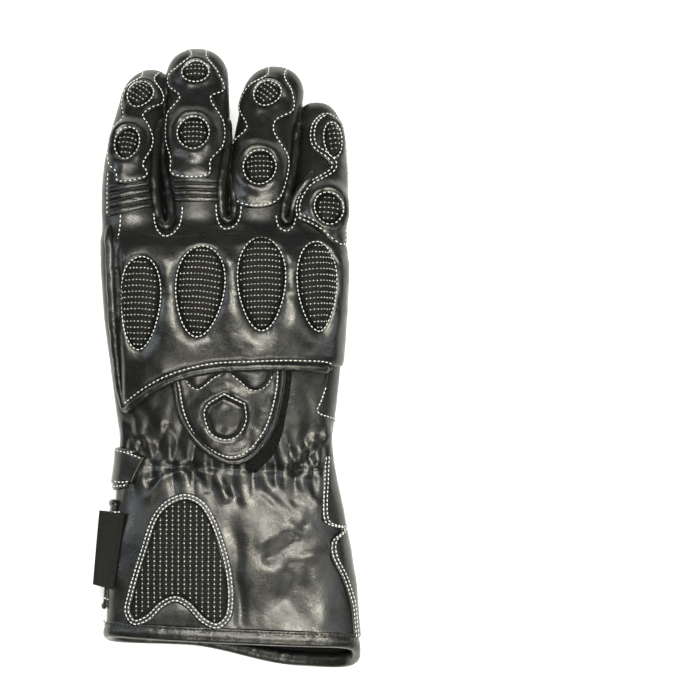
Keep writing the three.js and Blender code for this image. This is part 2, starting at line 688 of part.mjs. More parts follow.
const guardHeight = SEAT + GUARD;
let guard = layer('hand', guardOutline, SEAT, guardHeight, 'back').subtract(tongueSpace);
for (const row of KNUCKLE_INSERTS) {
  const centre = onHand(row.side, (row.top + row.bottom) / 2);
  const width = row.width * HAND_WIDTH;
  const length = (row.top - row.bottom) * HAND_LENGTH;
  const window = ellipse(centre, width + 2 * GAP, length + 2 * GAP, row.tilt, EGG_POINTS, EGG_TAPER);
  guard = guard.subtract(column(window, 'back', shellSplit));
  const egg = ellipse(centre, width, length, row.tilt, EGG_POINTS, EGG_TAPER);
  const insert = layer('hand', egg, SEAT, SEAT + GUARD - BINDING_RISE, 'back').subtract(tongueSpace);
  addPiece(`knuckle_insert_${row.name}`, insert, MATERIALS.grip);
}
guard = guard.subtract(fingerSkin(fingerNamed('pinky'), SEAT + PATCH + BINDING_RISE + GAP));
addPiece('knuckle_guard', guard, MATERIALS.leather);
const guardBinding = layer('hand', bindingBand, SEAT, SEAT + GUARD - BINDING_RISE, 'back')
  .subtract(tongueSpace);
addPiece('guard_binding', guardBinding, MATERIALS.binding);
const tongue = layer('wrist', grow(tongueInner, -GAP), SEAT, SEAT + PATCH, 'back');
addPiece('wrist_tongue', tongue, MATERIALS.leather);
const tongueRing = layer('wrist', tongueOutline, SEAT, SEAT + bindingHeight, 'back')
  .subtract(column(tongueInner, 'back', shellSplit));
addPiece('tongue_binding', tongueRing, MATERIALS.binding);
const tonguePadSeat = SEAT + PATCH + GAP;
const tonguePad = layer('wrist', tonguePadOutline, tonguePadSeat, tonguePadSeat + PAD, 'back');
addPiece('tongue_pad', tonguePad, MATERIALS.leather);

// Pieces of one flat layer: skin, half, thickness and outline.
const FLAT_PIECES = [
  {
    name: 'loop_patch',
    skin: 'wrist',
    half: 'back',
    thickness: PATCH,
    material: 'loop',
    outline: [
      onHand(0.255, 0.37), onHand(0.30, 0.37), onHand(0.28, 0.22), onHand(0.21, -0.04),
      onHand(0.165, -0.05), onHand(0.16, -0.02), onHand(0.20, 0.09),
    ],
  },
  {
    name: 'cuff_grip_panel',
    skin: 'cuff',
    half: 'back',
    thickness: PATCH,
    material: 'grip',
    outline: smooth([
      onCuff(-0.15, -0.223), onCuff(-0.05, -0.31), onCuff(0.0, -0.51), onCuff(0.035, -0.77),
      onCuff(-0.03, -0.89),
      onCuff(-0.17, -0.80), onCuff(-0.32, -0.90), onCuff(-0.385, -0.80), onCuff(-0.318, -0.51),
      onCuff(-0.246, -0.303),
    ], 16),
  },
  {
    name: 'side_panel',
    skin: 'cuff',
    half: 'back',
    thickness: PATCH,
    material: 'leather',
    outline: [
      onCuff(0.41, -0.05), onCuff(0.40, -0.36), onCuff(0.48, -0.42), onCuff(0.43, -0.47),
      onCuff(0.50, -0.90), onCuff(0.62, -0.90), onCuff(0.62, -0.05),
    ],
  },
  {
    name: 'cuff_palm_panel',
    skin: 'cuff',
    half: 'palm',
    thickness: PATCH,
    material: 'grip',
    outline: smooth([
      onCuff(0.296, -0.11), onCuff(0.40, -0.28), onCuff(0.44, -0.646), onCuff(0.36, -0.96),
      onCuff(0.196, -0.85),
      onCuff(0.05, -0.93), onCuff(0.08, -0.553), onCuff(0.16, -0.282), onCuff(0.226, -0.154),
    ], 16),
  },
  {
    name: 'palm_loop_band',
    skin: 'wrist',
    half: 'palm',
    thickness: PATCH,
    material: 'loop',
    outline: [
      onHand(0.05, 0.03), onHand(0.30, -0.01), onHand(0.27, -0.07), onHand(0.17, -0.12),
      onHand(0.10, -0.20), onHand(0.05, -0.20),
    ],
  },
  {
    name: 'palm_patch_index',
    skin: 'hand and index',
    half: 'palm',
    thickness: PATCH,
    material: 'suede',
    outline: smooth([
      onHand(-0.39, 1.21), onHand(-0.44, 1.15), onHand(-0.46, 0.98), onHand(-0.45, 0.82),
      onHand(-0.31, 0.82),
      onHand(-0.27, 0.93), onHand(-0.29, 1.02), onHand(-0.345, 1.15),
    ], 11),
  },
  {
    name: 'thumb_web_patch',
    skin: 'hand',
    half: 'palm',
    thickness: PATCH,
    material: 'suede',
    outline: smooth([
      onHand(0.03, 0.86), onHand(0.14, 0.80), onHand(0.204, 0.718), onHand(0.12, 0.65),
      onHand(-0.07, 0.615), onHand(-0.10, 0.72),
    ], 11),
  },
];
for (const row of FLAT_PIECES) {
  const shape = layer(row.skin, row.outline, SEAT, SEAT + row.thickness, row.half)
    .subtract(thumbSkin(GAP));
  addPiece(row.name, shape, MATERIALS[row.material]);
}

// Heel pad: a quilted pad with five grooves sewn into it.
const heelOutline = [
  onHand(-0.131, 0.45), onHand(-0.075, 0.435), onHand(-0.008, 0.53), onHand(0.173, 0.53),
  onHand(0.27, 0.54),
  onHand(0.44, 0.42), onHand(0.43, 0.13), onHand(0.296, 0.10), onHand(0.012, 0.139),
  onHand(-0.2125, 0.155),
  onHand(-0.24, 0.22),
];
const QUILT_LINES = [
  [onHand(-0.096, 0.46), onHand(-0.20, 0.12)],
  [onHand(-0.075, 0.46), onHand(0.02, 0.10)],
  [onHand(0.173, 0.56), onHand(0.027, 0.10)],
  [onHand(0.187, 0.56), onHand(0.283, 0.08)],
  [onHand(0.456, 0.44), onHand(0.296, 0.08)],
];
function stroke(from, to, width) {
  const across = to.clone().sub(from).normalize().multiplyScalar(width / 2);
  const side = new THREE.Vector2(-across.y, across.x);
  return [from.clone().add(side), to.clone().add(side), to.clone().sub(side), from.clone().sub(side)];
}
let heel = layer('hand', heelOutline, SEAT, SEAT + PAD, 'palm').subtract(thumbSkin(GAP));
for (const [from, to] of QUILT_LINES) {
  const groove = stroke(from, to, QUILT_LINE);
  heel = heel.subtract(layer('hand', groove, SEAT + PAD / 2, SEAT + PAD + GAP, 'palm'));
}
addPiece('heel_pad', heel, MATERIALS.leather);

// Side strip along the little finger and the outer edge of the palm.
const pinky = fingerNamed('pinky');
const stripOutline = [
  onFinger(pinky, 0.94, 0.16), onFinger(pinky, 0.86, -0.10), onFinger(pinky, 0.62, 0.10),
  onFinger(pinky, 0.34, -0.02), onFinger(pinky, 0.08, 0.10), onHand(0.354, 0.93), onHand(0.346, 0.82), onHand(0.333, 0.68),
  onHand(0.29, 0.575),
  onHand(0.45, 0.45), onHand(0.60, 0.45), onHand(0.60, 1.0), onFinger(pinky, 0.3, 0.7),
  onFinger(pinky, 0.94, 0.6),
];
function stripSplit(x, y) {
  const middle = y > HAND_LENGTH ? Math.min(shellMiddle(y), fingerMiddle(pinky, y)) : shellMiddle(y);
  return middle - STRIP_DROP;
}
const strip = layer('hand and pinky', stripOutline, SEAT, SEAT + PATCH, 'palm', stripSplit);
addPiece('pinky_side_strip', strip, MATERIALS.leather);

// Thumb pad with its two grip inserts.
const thumbSplit = () => THUMB_FLOOR + THUMB_HEIGHT / 2;
const THUMB_PAD_ROWS = [
  { along: 0.12, left: -0.16, right: 0.06 },
  { along: 0.28, left: -0.38, right: 0.20 },
  { along: 0.44, left: -0.44, right: 0.34 },
  { along: 0.60, left: -0.37, right: 0.19 },
  { along: 0.73, left: -0.33, right: 0.40 },
  { along: 0.86, left: -0.22, right: 0.34 },
  { along: 0.95, left: -0.02, right: 0.16 },
];
const thumbPadOutline = [
  ...THUMB_PAD_ROWS.map((row) => thumbSpot(row.along, row.left)),
  ...THUMB_PAD_ROWS.map((row) => thumbSpot(row.along, row.right)).reverse(),
];
function thumbSpot(along, side) {
  const { x, y } = fingerPoint(thumb, along, side * THUMB_WIDTH);
  return new THREE.Vector2(x, y);
}
const THUMB_INSERTS = [
  { place: 'tip', along: 0.73, side: 0.02, width: 0.44, length: 0.44 },
  { place: 'base', along: 0.40, side: -0.07, width: 0.42, length: 0.48 },
];
let thumbPad = layer('thumb', thumbPadOutline, SEAT, SEAT + PAD, 'palm', thumbSplit);
for (const row of THUMB_INSERTS) {
  const centre = thumbSpot(row.along, row.side);
  const width = row.width * THUMB_WIDTH;
  const length = row.length * THUMB_WIDTH;
  const window = ellipse(centre, width + 2 * GAP, length + 2 * GAP, -THUMB.lean, INSERT_POINTS);
  thumbPad = thumbPad.subtract(column(window, 'palm', thumbSplit));
  const outline = ellipse(centre, width, length, -THUMB.lean, INSERT_POINTS);
  const insert = layer('thumb', outline, SEAT, SEAT + PAD - BINDING_RISE, 'palm', thumbSplit);
  addPiece(`thumb_insert_${row.place}`, insert, MATERIALS.grip);
}
addPiece('thumb_pad', thumbPad, MATERIALS.leather);

// Wrist strap: from the back of the cuff round its index side to the palm.
const strapBack = [
  onCuff(-0.62, 0.02), onCuff(-0.42, 0.02), onCuff(-0.30, -0.03), onCuff(-0.36, -0.17),
  onCuff(-0.62, -0.17),
];
const strapPalm = [
  onCuff(-0.62, 0.02), onCuff(-0.30, 0.03), onCuff(-0.12, 0.04), onCuff(-0.03, 0.0),
  onCuff(0.0, -0.10), onCuff(-0.03, -0.20),
  onCuff(-0.12, -0.25), onCuff(-0.30, -0.235), onCuff(-0.62, -0.215),
];
const strap = layer('wrist', strapBack, SEAT, SEAT + PATCH, 'back')
  .add(layer('wrist', strapPalm, SEAT, SEAT + PATCH, 'palm'))
  .subtract(thumbSkin(GAP));
addPiece('wrist_strap', strap, MATERIALS.leather);

// Closure flap under the cuff, with a binding round its free end.
const flapOutline = [
  onCuff(-0.62, -0.29), onCuff(-0.29, -0.30), onCuff(-0.10, -0.35), onCuff(-0.01, -0.43),
  onCuff(0.015, -0.54), onCuff(0.0, -0.66),
  onCuff(-0.06, -0.76), onCuff(-0.25, -0.80), onCuff(-0.62, -0.80),
];
const flapInner = grow(flapOutline, -BINDING_WIDTH);
const flapPanel = layer('cuff', grow(flapInner, -2 * GAP), SEAT, SEAT + FLAP - BINDING_RISE, 'palm');
addPiece('closure_flap', flapPanel, MATERIALS.leather);
const flapBinding = layer('cuff', flapOutline, SEAT, SEAT + FLAP, 'palm')
  .subtract(column(flapInner, 'palm', shellSplit));
addPiece('closure_flap_binding', flapBinding, MATERIALS.binding);

// Hem round the mouth of the cuff, which is longer under the palm side.
function hemBand(reach) {
  const x = CUFF_WIDTH;
  const end = -CUFF_LENGTH - CUFF_SLANT - LEATHER;
  const start = -reach + HEM_WIDTH;
  return [
    new THREE.Vector2(-x, end),
    new THREE.Vector2(x, end),
    new THREE.Vector2(x, start),
    new THREE.Vector2(-x, start),
  ];
}
const hem = layer('cuff', hemBand(CUFF_LENGTH), SEAT, SEAT + PATCH, 'back')
  .add(layer('cuff', hemBand(CUFF_LENGTH + CUFF_SLANT), SEAT, SEAT + PATCH, 'palm'));
addPiece('cuff_hem', hem, MATERIALS.leather);

// Label: a loose tag sewn into the index side of the cuff.
const LABEL_PLACE = { across: -0.475, along: -0.52 };
const tagShape = new THREE.BoxGeometry(LABEL_WIDTH, LABEL_LENGTH, LABEL_THICKNESS).toNonIndexed();
tagShape.rotateZ(THREE.MathUtils.degToRad(LABEL_TILT));
const labelMiddle = CUFF_FLOOR + CUFF_HEIGHT / 2;
tagShape.translate(LABEL_PLACE.across * CUFF_WIDTH, LABEL_PLACE.along * CUFF_LENGTH, labelMiddle);
addPiece('label', solid(tagShape).subtract(cuffSkin(SEAT + FLAP + GAP, 0, 0)), MATERIALS.tag);

const box = new THREE.Box3().setFromObject(glove);
glove.position.set(-(box.min.x + box.max.x) / 2, -(box.min.y + box.max.y) / 2, -box.min.z);

export default glove;
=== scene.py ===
"""Motorcycle glove, right hand, lying palm down: the looks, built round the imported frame.

Lengths are in millimetres in the glove's own plan until a mesh is made: x runs to the little finger, y from
the wrist line to the fingertips, z up from the surface that the glove lies on.
"""
import itertools
import math

import bpy
import numpy as np
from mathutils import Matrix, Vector, geometry


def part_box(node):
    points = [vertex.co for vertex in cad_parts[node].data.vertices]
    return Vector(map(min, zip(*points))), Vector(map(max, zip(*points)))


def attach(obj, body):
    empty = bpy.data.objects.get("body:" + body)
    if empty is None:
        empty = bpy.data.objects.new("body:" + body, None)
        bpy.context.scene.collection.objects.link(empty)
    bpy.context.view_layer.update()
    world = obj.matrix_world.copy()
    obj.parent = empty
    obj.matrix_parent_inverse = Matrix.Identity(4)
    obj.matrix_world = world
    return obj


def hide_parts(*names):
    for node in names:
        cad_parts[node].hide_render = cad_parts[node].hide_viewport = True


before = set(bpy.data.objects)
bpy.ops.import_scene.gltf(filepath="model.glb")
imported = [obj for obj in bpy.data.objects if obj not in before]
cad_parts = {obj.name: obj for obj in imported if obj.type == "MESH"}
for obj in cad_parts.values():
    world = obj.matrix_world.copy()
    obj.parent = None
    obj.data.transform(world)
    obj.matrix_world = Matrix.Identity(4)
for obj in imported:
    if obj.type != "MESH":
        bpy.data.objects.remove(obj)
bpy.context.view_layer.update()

MM = 0.001
hand_low, hand_high = [np.array(corner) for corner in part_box("hand_shell")]
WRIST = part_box("cuff_shell")[1][1]
ORIGIN = np.array([(hand_low[0] + hand_high[0]) / 2, WRIST, 0.0])

# Sizes of the frame
HAND_LENGTH = 104.0
HAND_WIDTH = 115.0
HAND_HEIGHT = 28.0
CUFF_LENGTH = 90.0
CUFF_WIDTH = 120.0
CUFF_SLANT = 9.0
HAND_ROLL = math.radians(3.5)
FINGER_WIDTH = 30.0
FINGER_HEIGHT = 21.0
THUMB_LENGTH = 114.0
THUMB_WIDTH = 40.0
THUMB_HEIGHT = 15.0
LEATHER = 2.0
GAP = 0.3
PAD = 2.8
FLAP = 2.8
THUMB_FLOOR = PAD + GAP
PALM_HEIGHT = THUMB_FLOOR + THUMB_HEIGHT + GAP
CUFF_FLOOR = FLAP + GAP
FLATTEN = 0.8

# Body sections from the hem to the roots of the fingers:
# along (mm from the wrist line), half width, centre, underside, half height.
BODY_ROWS = [
    (-CUFF_LENGTH - CUFF_SLANT, 60.8, 3.9, 2.3, 17.9),
    (-1.00 * CUFF_LENGTH, 60.6, 3.8, 2.3, 17.8),
    (-0.77 * CUFF_LENGTH, 59.4, 3.6, 2.3, 17.2),
    (-0.52 * CUFF_LENGTH, 57.3, 2.6, 2.3, 16.8),
    (-0.30 * CUFF_LENGTH, 54.3, 1.4, 2.3, 16.2),
    (-0.13 * CUFF_LENGTH, 51.9, 0.7, 2.5, 15.4),
    (0.00 * HAND_LENGTH, 50.0, 0.5, 4.6, 14.9),
    (0.11 * HAND_LENGTH, 50.9, 0.7, 6.0, 14.9),
    (0.25 * HAND_LENGTH, 52.3, 0.6, 9.4, 14.7),
    (0.42 * HAND_LENGTH, 54.0, 0.7, 14.6, 14.4),
    (0.62 * HAND_LENGTH, 56.1, 0.3, 18.5, 14.0),
    (0.82 * HAND_LENGTH, 57.2, 0.0, 18.7, 14.0),
    (0.96 * HAND_LENGTH, 57.5, 0.0, 18.7, 13.6),
    (1.06 * HAND_LENGTH, 56.6, 0.0, 19.4, 12.0),
]

# Fingers: name, length, root (share of the hand's width), lean, bow (share of length), width shares at
# the root, middle and tip, and the depth of what is sewn under the tip. Leather swells the stalls a little
# past their frames, so that neighbours touch.
FINGERS = {
    "index": dict(length=81.5, root=-0.359, lean=4.5, bow=-0.055, base=1.06, mid=0.95, tip=0.80, under=0.0),
    "middle": dict(length=91.5, root=-0.110, lean=-0.8, bow=0.005, base=1.00, mid=1.07, tip=1.01, under=0.0),
    "ring": dict(length=83.3, root=0.146, lean=6.3, bow=-0.022, base=0.94, mid=1.05, tip=0.97, under=0.0),
    "pinky": dict(length=65.5, root=0.380, lean=0.8, bow=0.03, base=0.96, mid=0.84, tip=0.74, under=1.9),
}
FINGER_DROP = [(-0.1, 0.0), (0.10, 0.04), (0.34, 0.26), (0.60, 0.67), (0.80, 0.95), (0.91, 1.0), (1.0, 1.03)]
TIP_ROUND = 14.0


def unit(vectors):
    """Vectors with a length of one."""
    return vectors / np.maximum(np.linalg.norm(vectors, axis=1, keepdims=True), 1e-9)


def lengths_along(line):
    """How far along a line each of its points lies."""
    return np.concatenate([[0], np.cumsum(np.linalg.norm(np.diff(line, axis=0), axis=1))])


def corner_weights(share):
    """The eight corners of a cell, each with its weight for points at some share of the way across."""
    for dx, dy, dz in itertools.product((0, 1), repeat=3):
        weight = ((share[:, 0] if dx else 1 - share[:, 0]) * (share[:, 1] if dy else 1 - share[:, 1])
                  * (share[:, 2] if dz else 1 - share[:, 2]))
        yield dx, dy, dz, weight


def soft_curve(xs, ys, softness=17):
    """A soft curve through the points of a table."""
    grid = np.linspace(xs[0], xs[-1], 301)
    line = np.interp(grid, xs, ys)
    kernel = np.hanning(softness + 2)
    kernel /= kernel.sum()
    reach = len(kernel) // 2
    start = 2 * line[0] - line[reach:0:-1]
    end = 2 * line[-1] - line[-2:-reach - 2:-1]
    soft = np.convolve(np.concatenate([start, line, end]), kernel, mode="valid")
    return lambda x: np.interp(x, grid, soft)


body_columns = list(zip(*BODY_ROWS))
body_half_width = soft_curve(body_columns[0], body_columns[1])
body_centre = soft_curve(body_columns[0], body_columns[2])
body_under = soft_curve(body_columns[0], body_columns[3])
body_half_height = soft_curve(body_columns[0], body_columns[4])
finger_drop = soft_curve(*zip(*FINGER_DROP))


def body_roll(y):
    return math.sin(HAND_ROLL) * np.clip(y / (0.5 * HAND_LENGTH), 0, 1)


def body_middle(x, y):
    """Middle height of the hand and cuff."""
    return body_under(y) + body_half_height(y) - x * body_roll(y)


def superellipse(a, b, c, half_a, half_b, half_c, power):
    """Distance to a superellipsoid section, true close to its surface."""
    a = np.abs(a) / half_a
    b = np.abs(b) / half_b
    c = np.abs(c) / half_c
    value = np.maximum(a ** power + b ** power + c ** 2.0, 1e-9)
    f = value ** (1 / power)
    slope = np.sqrt((a ** (power - 1) / half_a) ** 2 + (b ** (power - 1) / half_b) ** 2
                    + (c * 2 / power / half_c) ** 2) * f ** (1 - power)
    return (f - 1) / np.maximum(slope, 1 / 60.0)


def smooth_step(x, low, high):
    t = np.clip((x - low) / (high - low), 0, 1)
    return t * t * (3 - 2 * t)


def soft_min(a, b, k):
    h = np.clip(0.5 + 0.5 * (b - a) / k, 0, 1)
    return b + (a - b) * h - k * h * (1 - h)


def body_distance(x, y, z, inside=0.0):
    half_height = body_half_height(y)
    half_width = body_half_width(y)
    up = z - body_middle(x, y)
    across = x - body_centre(y)
    end = np.maximum(y - (1.06 * HAND_LENGTH - 10.0), 0)
    d = superellipse(across, up, end, half_width, half_height, 10.0, 2.7) + inside
    floor = CUFF_FLOOR + inside
    return -soft_min(-d, z - floor, 1.2)


def finger_frame(finger, x, y):
    """Along and side of plan points in a finger's own bowed frame, in millimetres."""
    lean = math.radians(finger["lean"])
    dx = x - finger["x"]
    dy = y - finger["y"]
    along = dx * math.sin(lean) + dy * math.cos(lean)
    side = dx * math.cos(lean) - dy * math.sin(lean)
    share = along / finger["length"]
    bow = 4 * finger["bow"] * finger["length"] * share * (1 - share)
    return along, side - bow


def finger_plan(finger, along, side):
    """Plan point of an along and side in a finger's own frame, with the side's direction."""
    lean = math.radians(finger["lean"])
    share = along / finger["length"]
    bow = 4 * finger["bow"] * finger["length"] * share * (1 - share)
    turn = lean + np.arctan(4 * finger["bow"] * (1 - 2 * np.clip(share, 0, 1)))
    x = finger["x"] + math.sin(lean) * along + math.cos(lean) * bow + np.cos(turn) * side
    y = finger["y"] + math.cos(lean) * along - math.sin(lean) * bow - np.sin(turn) * side
    return x, y, turn


for finger in FINGERS.values():
    finger["x"] = finger["root"] * HAND_WIDTH
    finger["y"] = HAND_LENGTH
    widths = [finger[part] for part in ("base", "base", "mid", "tip", "tip")]
    finger["width"] = soft_curve([-0.2, 0.0, 0.4, 0.8, 1.1], widths, 41)
    finger["top"] = PALM_HEIGHT + HAND_HEIGHT * 0.46 - finger["x"] * math.sin(HAND_ROLL)
    finger["tip_height"] = FINGER_HEIGHT * 0.41 + finger["under"]
THUMB = dict(x=-0.315 * HAND_WIDTH, y=0.19 * HAND_LENGTH, length=THUMB_LENGTH, lean=20.0, bow=-0.09)


def finger_middle(finger, along):
    drop = finger_drop(along / finger["length"])
    return finger["top"] + (finger["tip_height"] - finger["top"]) * drop


def finger_distance(finger, x, y, z, inside=0.0):
    along, side = finger_frame(finger, x, y)
    share = along / finger["length"]
    width = finger["width"](share)
    fullness = np.interp(share, [0, 0.3, 0.7, 1.0], [0.95, 1, 0.96, 0.84])
    half_height = FINGER_HEIGHT / 2 * (0.6 + 0.4 * width) * fullness
    up = z - finger_middle(finger, along)
    end = np.maximum(along - (finger["length"] - TIP_ROUND), 0)
    start = -0.1 * finger["length"] - along
    d = superellipse(side, up, end, width * FINGER_WIDTH / 2, half_height, TIP_ROUND, 2.3) + inside
    d = np.maximum(d, start)
    return -soft_min(-d, z - finger["under"] - inside, 1.0)


THUMB_WIDTHS = soft_curve([-0.1, 0.08, 0.22, 0.6, 0.8, 1.1], [0.56, 0.84, 1.0, 1.0, 0.96, 0.9])
THUMB_HEIGHTS = soft_curve([-0.1, 0.08, 0.22, 0.4, 0.8, 1.1], [0.88, 1.05, 1.1, 1.0, 0.96, 0.9])
THUMB_LIFT = soft_curve([-0.1, 0.08, 0.22, 0.3, 1.1], [0.50, 0.22, 0.03, 0.0, 0.0])


def thumb_distance(x, y, z, inside=0.0):
    along, side = finger_frame(THUMB, x, y)
    share = along / THUMB_LENGTH
    half_height = THUMB_HEIGHTS(share) * THUMB_HEIGHT / 2
    up = z - thumb_middle(along)
    end = np.maximum(along - (THUMB_LENGTH - 17.0), 0)
    d = superellipse(side, up, end, THUMB_WIDTHS(share) * THUMB_WIDTH / 2, half_height, 17.0, 2.5) + inside
    d = np.maximum(d, -along - 0.04 * THUMB_LENGTH)
    return -soft_min(-d, z - THUMB_FLOOR - inside, 1.0)


def thumb_middle(along):
    share = along / THUMB_LENGTH
    return THUMB_FLOOR + THUMB_HEIGHTS(share) * THUMB_HEIGHT / 2 + THUMB_LIFT(share) * PALM_HEIGHT - FLATTEN


# Distance fields on a grid, for the shell and for finding the surface under each sewn piece
STEP = 1.2
GRID_LOW = np.array([-76.0, -106.0, -4.0])
GRID_HIGH = np.array([78.0, 198.0, 58.0])
GRID_SIZE = np.ceil((GRID_HIGH - GRID_LOW) / STEP).astype(int) + 1


def grid_axes():
    return [GRID_LOW[i] + STEP * np.arange(GRID_SIZE[i]) for i in range(3)]


def fill_field(distance, low, high, far=30.0):
    """A distance function on the part of the grid between two corners."""
    field = np.full(tuple(GRID_SIZE), far)
    axes = grid_axes()
    span = [slice(*np.searchsorted(axes[i], [low[i], high[i]])) for i in range(3)]
    x, y, z = np.meshgrid(*[axes[i][span[i]] for i in range(3)], indexing="ij")
    field[tuple(span)] = distance(x, y, z)
    return field


def sample(field, points):
    """The field at any points, straight between its grid points."""
    q = (points - GRID_LOW) / STEP
    q = np.clip(q, 0, GRID_SIZE - 1.001)
    i = q.astype(int)
    f = q - i
    total = np.zeros(len(points))
    for dx, dy, dz, weight in corner_weights(f):
        total += weight * field[i[:, 0] + dx, i[:, 1] + dy, i[:, 2] + dz]
    return total


def normals_at(field, points, reach=0.9):
    result = np.zeros_like(points)
    for axis in range(3):
        shift = np.zeros(3)
        shift[axis] = reach
        result[:, axis] = sample(field, points + shift) - sample(field, points - shift)
    return unit(result)


def surface_net(field, step):
    """Vertices and quads of the zero surface of a field on a grid with this step."""
    inside = field < 0
    corners = list(itertools.product((0, 1), repeat=3))
    n = np.array(field.shape) - 1

    def corner(grid, c):
        return grid[c[0]:c[0] + n[0], c[1]:c[1] + n[1], c[2]:c[2] + n[2]]

    count = sum(corner(inside, c).astype(int) for c in corners)
    cells = np.argwhere((count > 0) & (count < 8))
    total = np.zeros((len(cells), 3))
    hits = np.zeros(len(cells))
    for a in corners:
        for axis in range(3):
            if a[axis] == 0:
                b = list(a)
                b[axis] = 1
                va = field[cells[:, 0] + a[0], cells[:, 1] + a[1], cells[:, 2] + a[2]]
                vb = field[cells[:, 0] + b[0], cells[:, 1] + b[1], cells[:, 2] + b[2]]
                cross = (va < 0) != (vb < 0)
                share = np.where(cross, va / np.where(cross, va - vb, 1), 0)
                point = np.tile(np.array(a, float), (len(cells), 1))
                point[:, axis] += share
                total += point * cross[:, None]
                hits += cross
    vertices = GRID_LOW + step * (cells + total / hits[:, None])
    number = np.full(tuple(n), -1)
    number[cells[:, 0], cells[:, 1], cells[:, 2]] = np.arange(len(cells))
    quads = []
    for axis in range(3):
        u, v = (axis + 1) % 3, (axis + 2) % 3
        low = [slice(1, n[i]) for i in range(3)]
        low[axis] = slice(0, n[axis])
        high = list(low)
        high[axis] = slice(1, n[axis] + 1)
        one, two = inside[tuple(low)], inside[tuple(high)]
        for flip in (False, True):
            mask = (one & ~two) if not flip else (~one & two)
            where = np.argwhere(mask)
            where[:, u] += 1
            where[:, v] += 1
            loop = []
            for du, dv in ((0, 0), (1, 0), (1, 1), (0, 1)):
                cell = where.copy()
                cell[:, u] -= du
                cell[:, v] -= dv
                loop.append(number[cell[:, 0], cell[:, 1], cell[:, 2]])
            quad = np.stack(loop, axis=1)
            quads.append(quad[:, ::-1] if flip else quad)
    return vertices, np.concatenate(quads)


body_field = fill_field(body_distance, GRID_LOW, GRID_HIGH)
finger_fields = {}
for name, finger in FINGERS.items():
    low = (finger["x"] - 24, HAND_LENGTH - 14, -4)
    high = (finger["x"] + 30, HAND_LENGTH + finger["length"] + 6, 52)
    finger_fields[name] = fill_field(lambda x, y, z, f=finger: finger_distance(f, x, y, z), low, high)
thumb_field = fill_field(thumb_distance, (-66, 4, -4), (30, 138, 40))

ROOT_BLEND = 5.0
hand_field = body_field
for name in FINGERS:
    blended = soft_min(body_field, finger_fields[name], ROOT_BLEND)
    hand_field = soft_min(hand_field, blended, 0.8)


# Charts: where a flat outline lies on the glove
def march(field, pivot, direction, far):
    """The points where rays that come in from far outside first meet the field's zero surface."""
    reach = np.full(len(pivot), float(far))
    for _ in range(36):
        d = sample(field, pivot + direction * reach[:, None])
        reach = np.clip(reach - d * 0.85, 0, far)
    return pivot + direction * reach[:, None]


BODY_EDGE = 13.0
RAY_REACH = 34.0


class BodyChart:
    """Back or palm of the hand and cuff. Points past the silhouette wrap round the side."""

    def __init__(self, field, half):
        self.field = field
        self.up = 1.0 if half == "back" else -1.0

    def unwrap(self, plan):
        """Flat points whose place on the glove lies straight over or under these plan points."""
        x, y = np.asarray(plan, float).T
        half_width = body_half_width(y) - BODY_EDGE * 0.92
        side = x - body_centre(y)
        over = np.maximum(np.abs(side) - half_width, 0)
        wrapped = BODY_EDGE * np.arcsin(np.clip(over / BODY_EDGE, 0, 0.97))
        return np.stack([x + np.sign(side) * (wrapped - over), y], axis=1)

    def place(self, flat):
        x, y = flat[:, 0], flat[:, 1]
        half_width = body_half_width(y) - BODY_EDGE * 0.92
        side = x - body_centre(y)
        inner = np.clip(side, -half_width, half_width)
        angle = np.minimum(np.abs(side - inner) / BODY_EDGE, math.pi * 0.95)
        pivot_x = body_centre(y) + inner
        pivot = np.stack([pivot_x, y, body_middle(pivot_x, y)], axis=1)
        outward, upward = np.sign(side) * np.sin(angle), self.up * np.cos(angle)
        direction = np.stack([outward, np.zeros_like(y), upward], axis=1)
        points = march(self.field, pivot, direction, RAY_REACH)
        return points, normals_at(self.field, points)


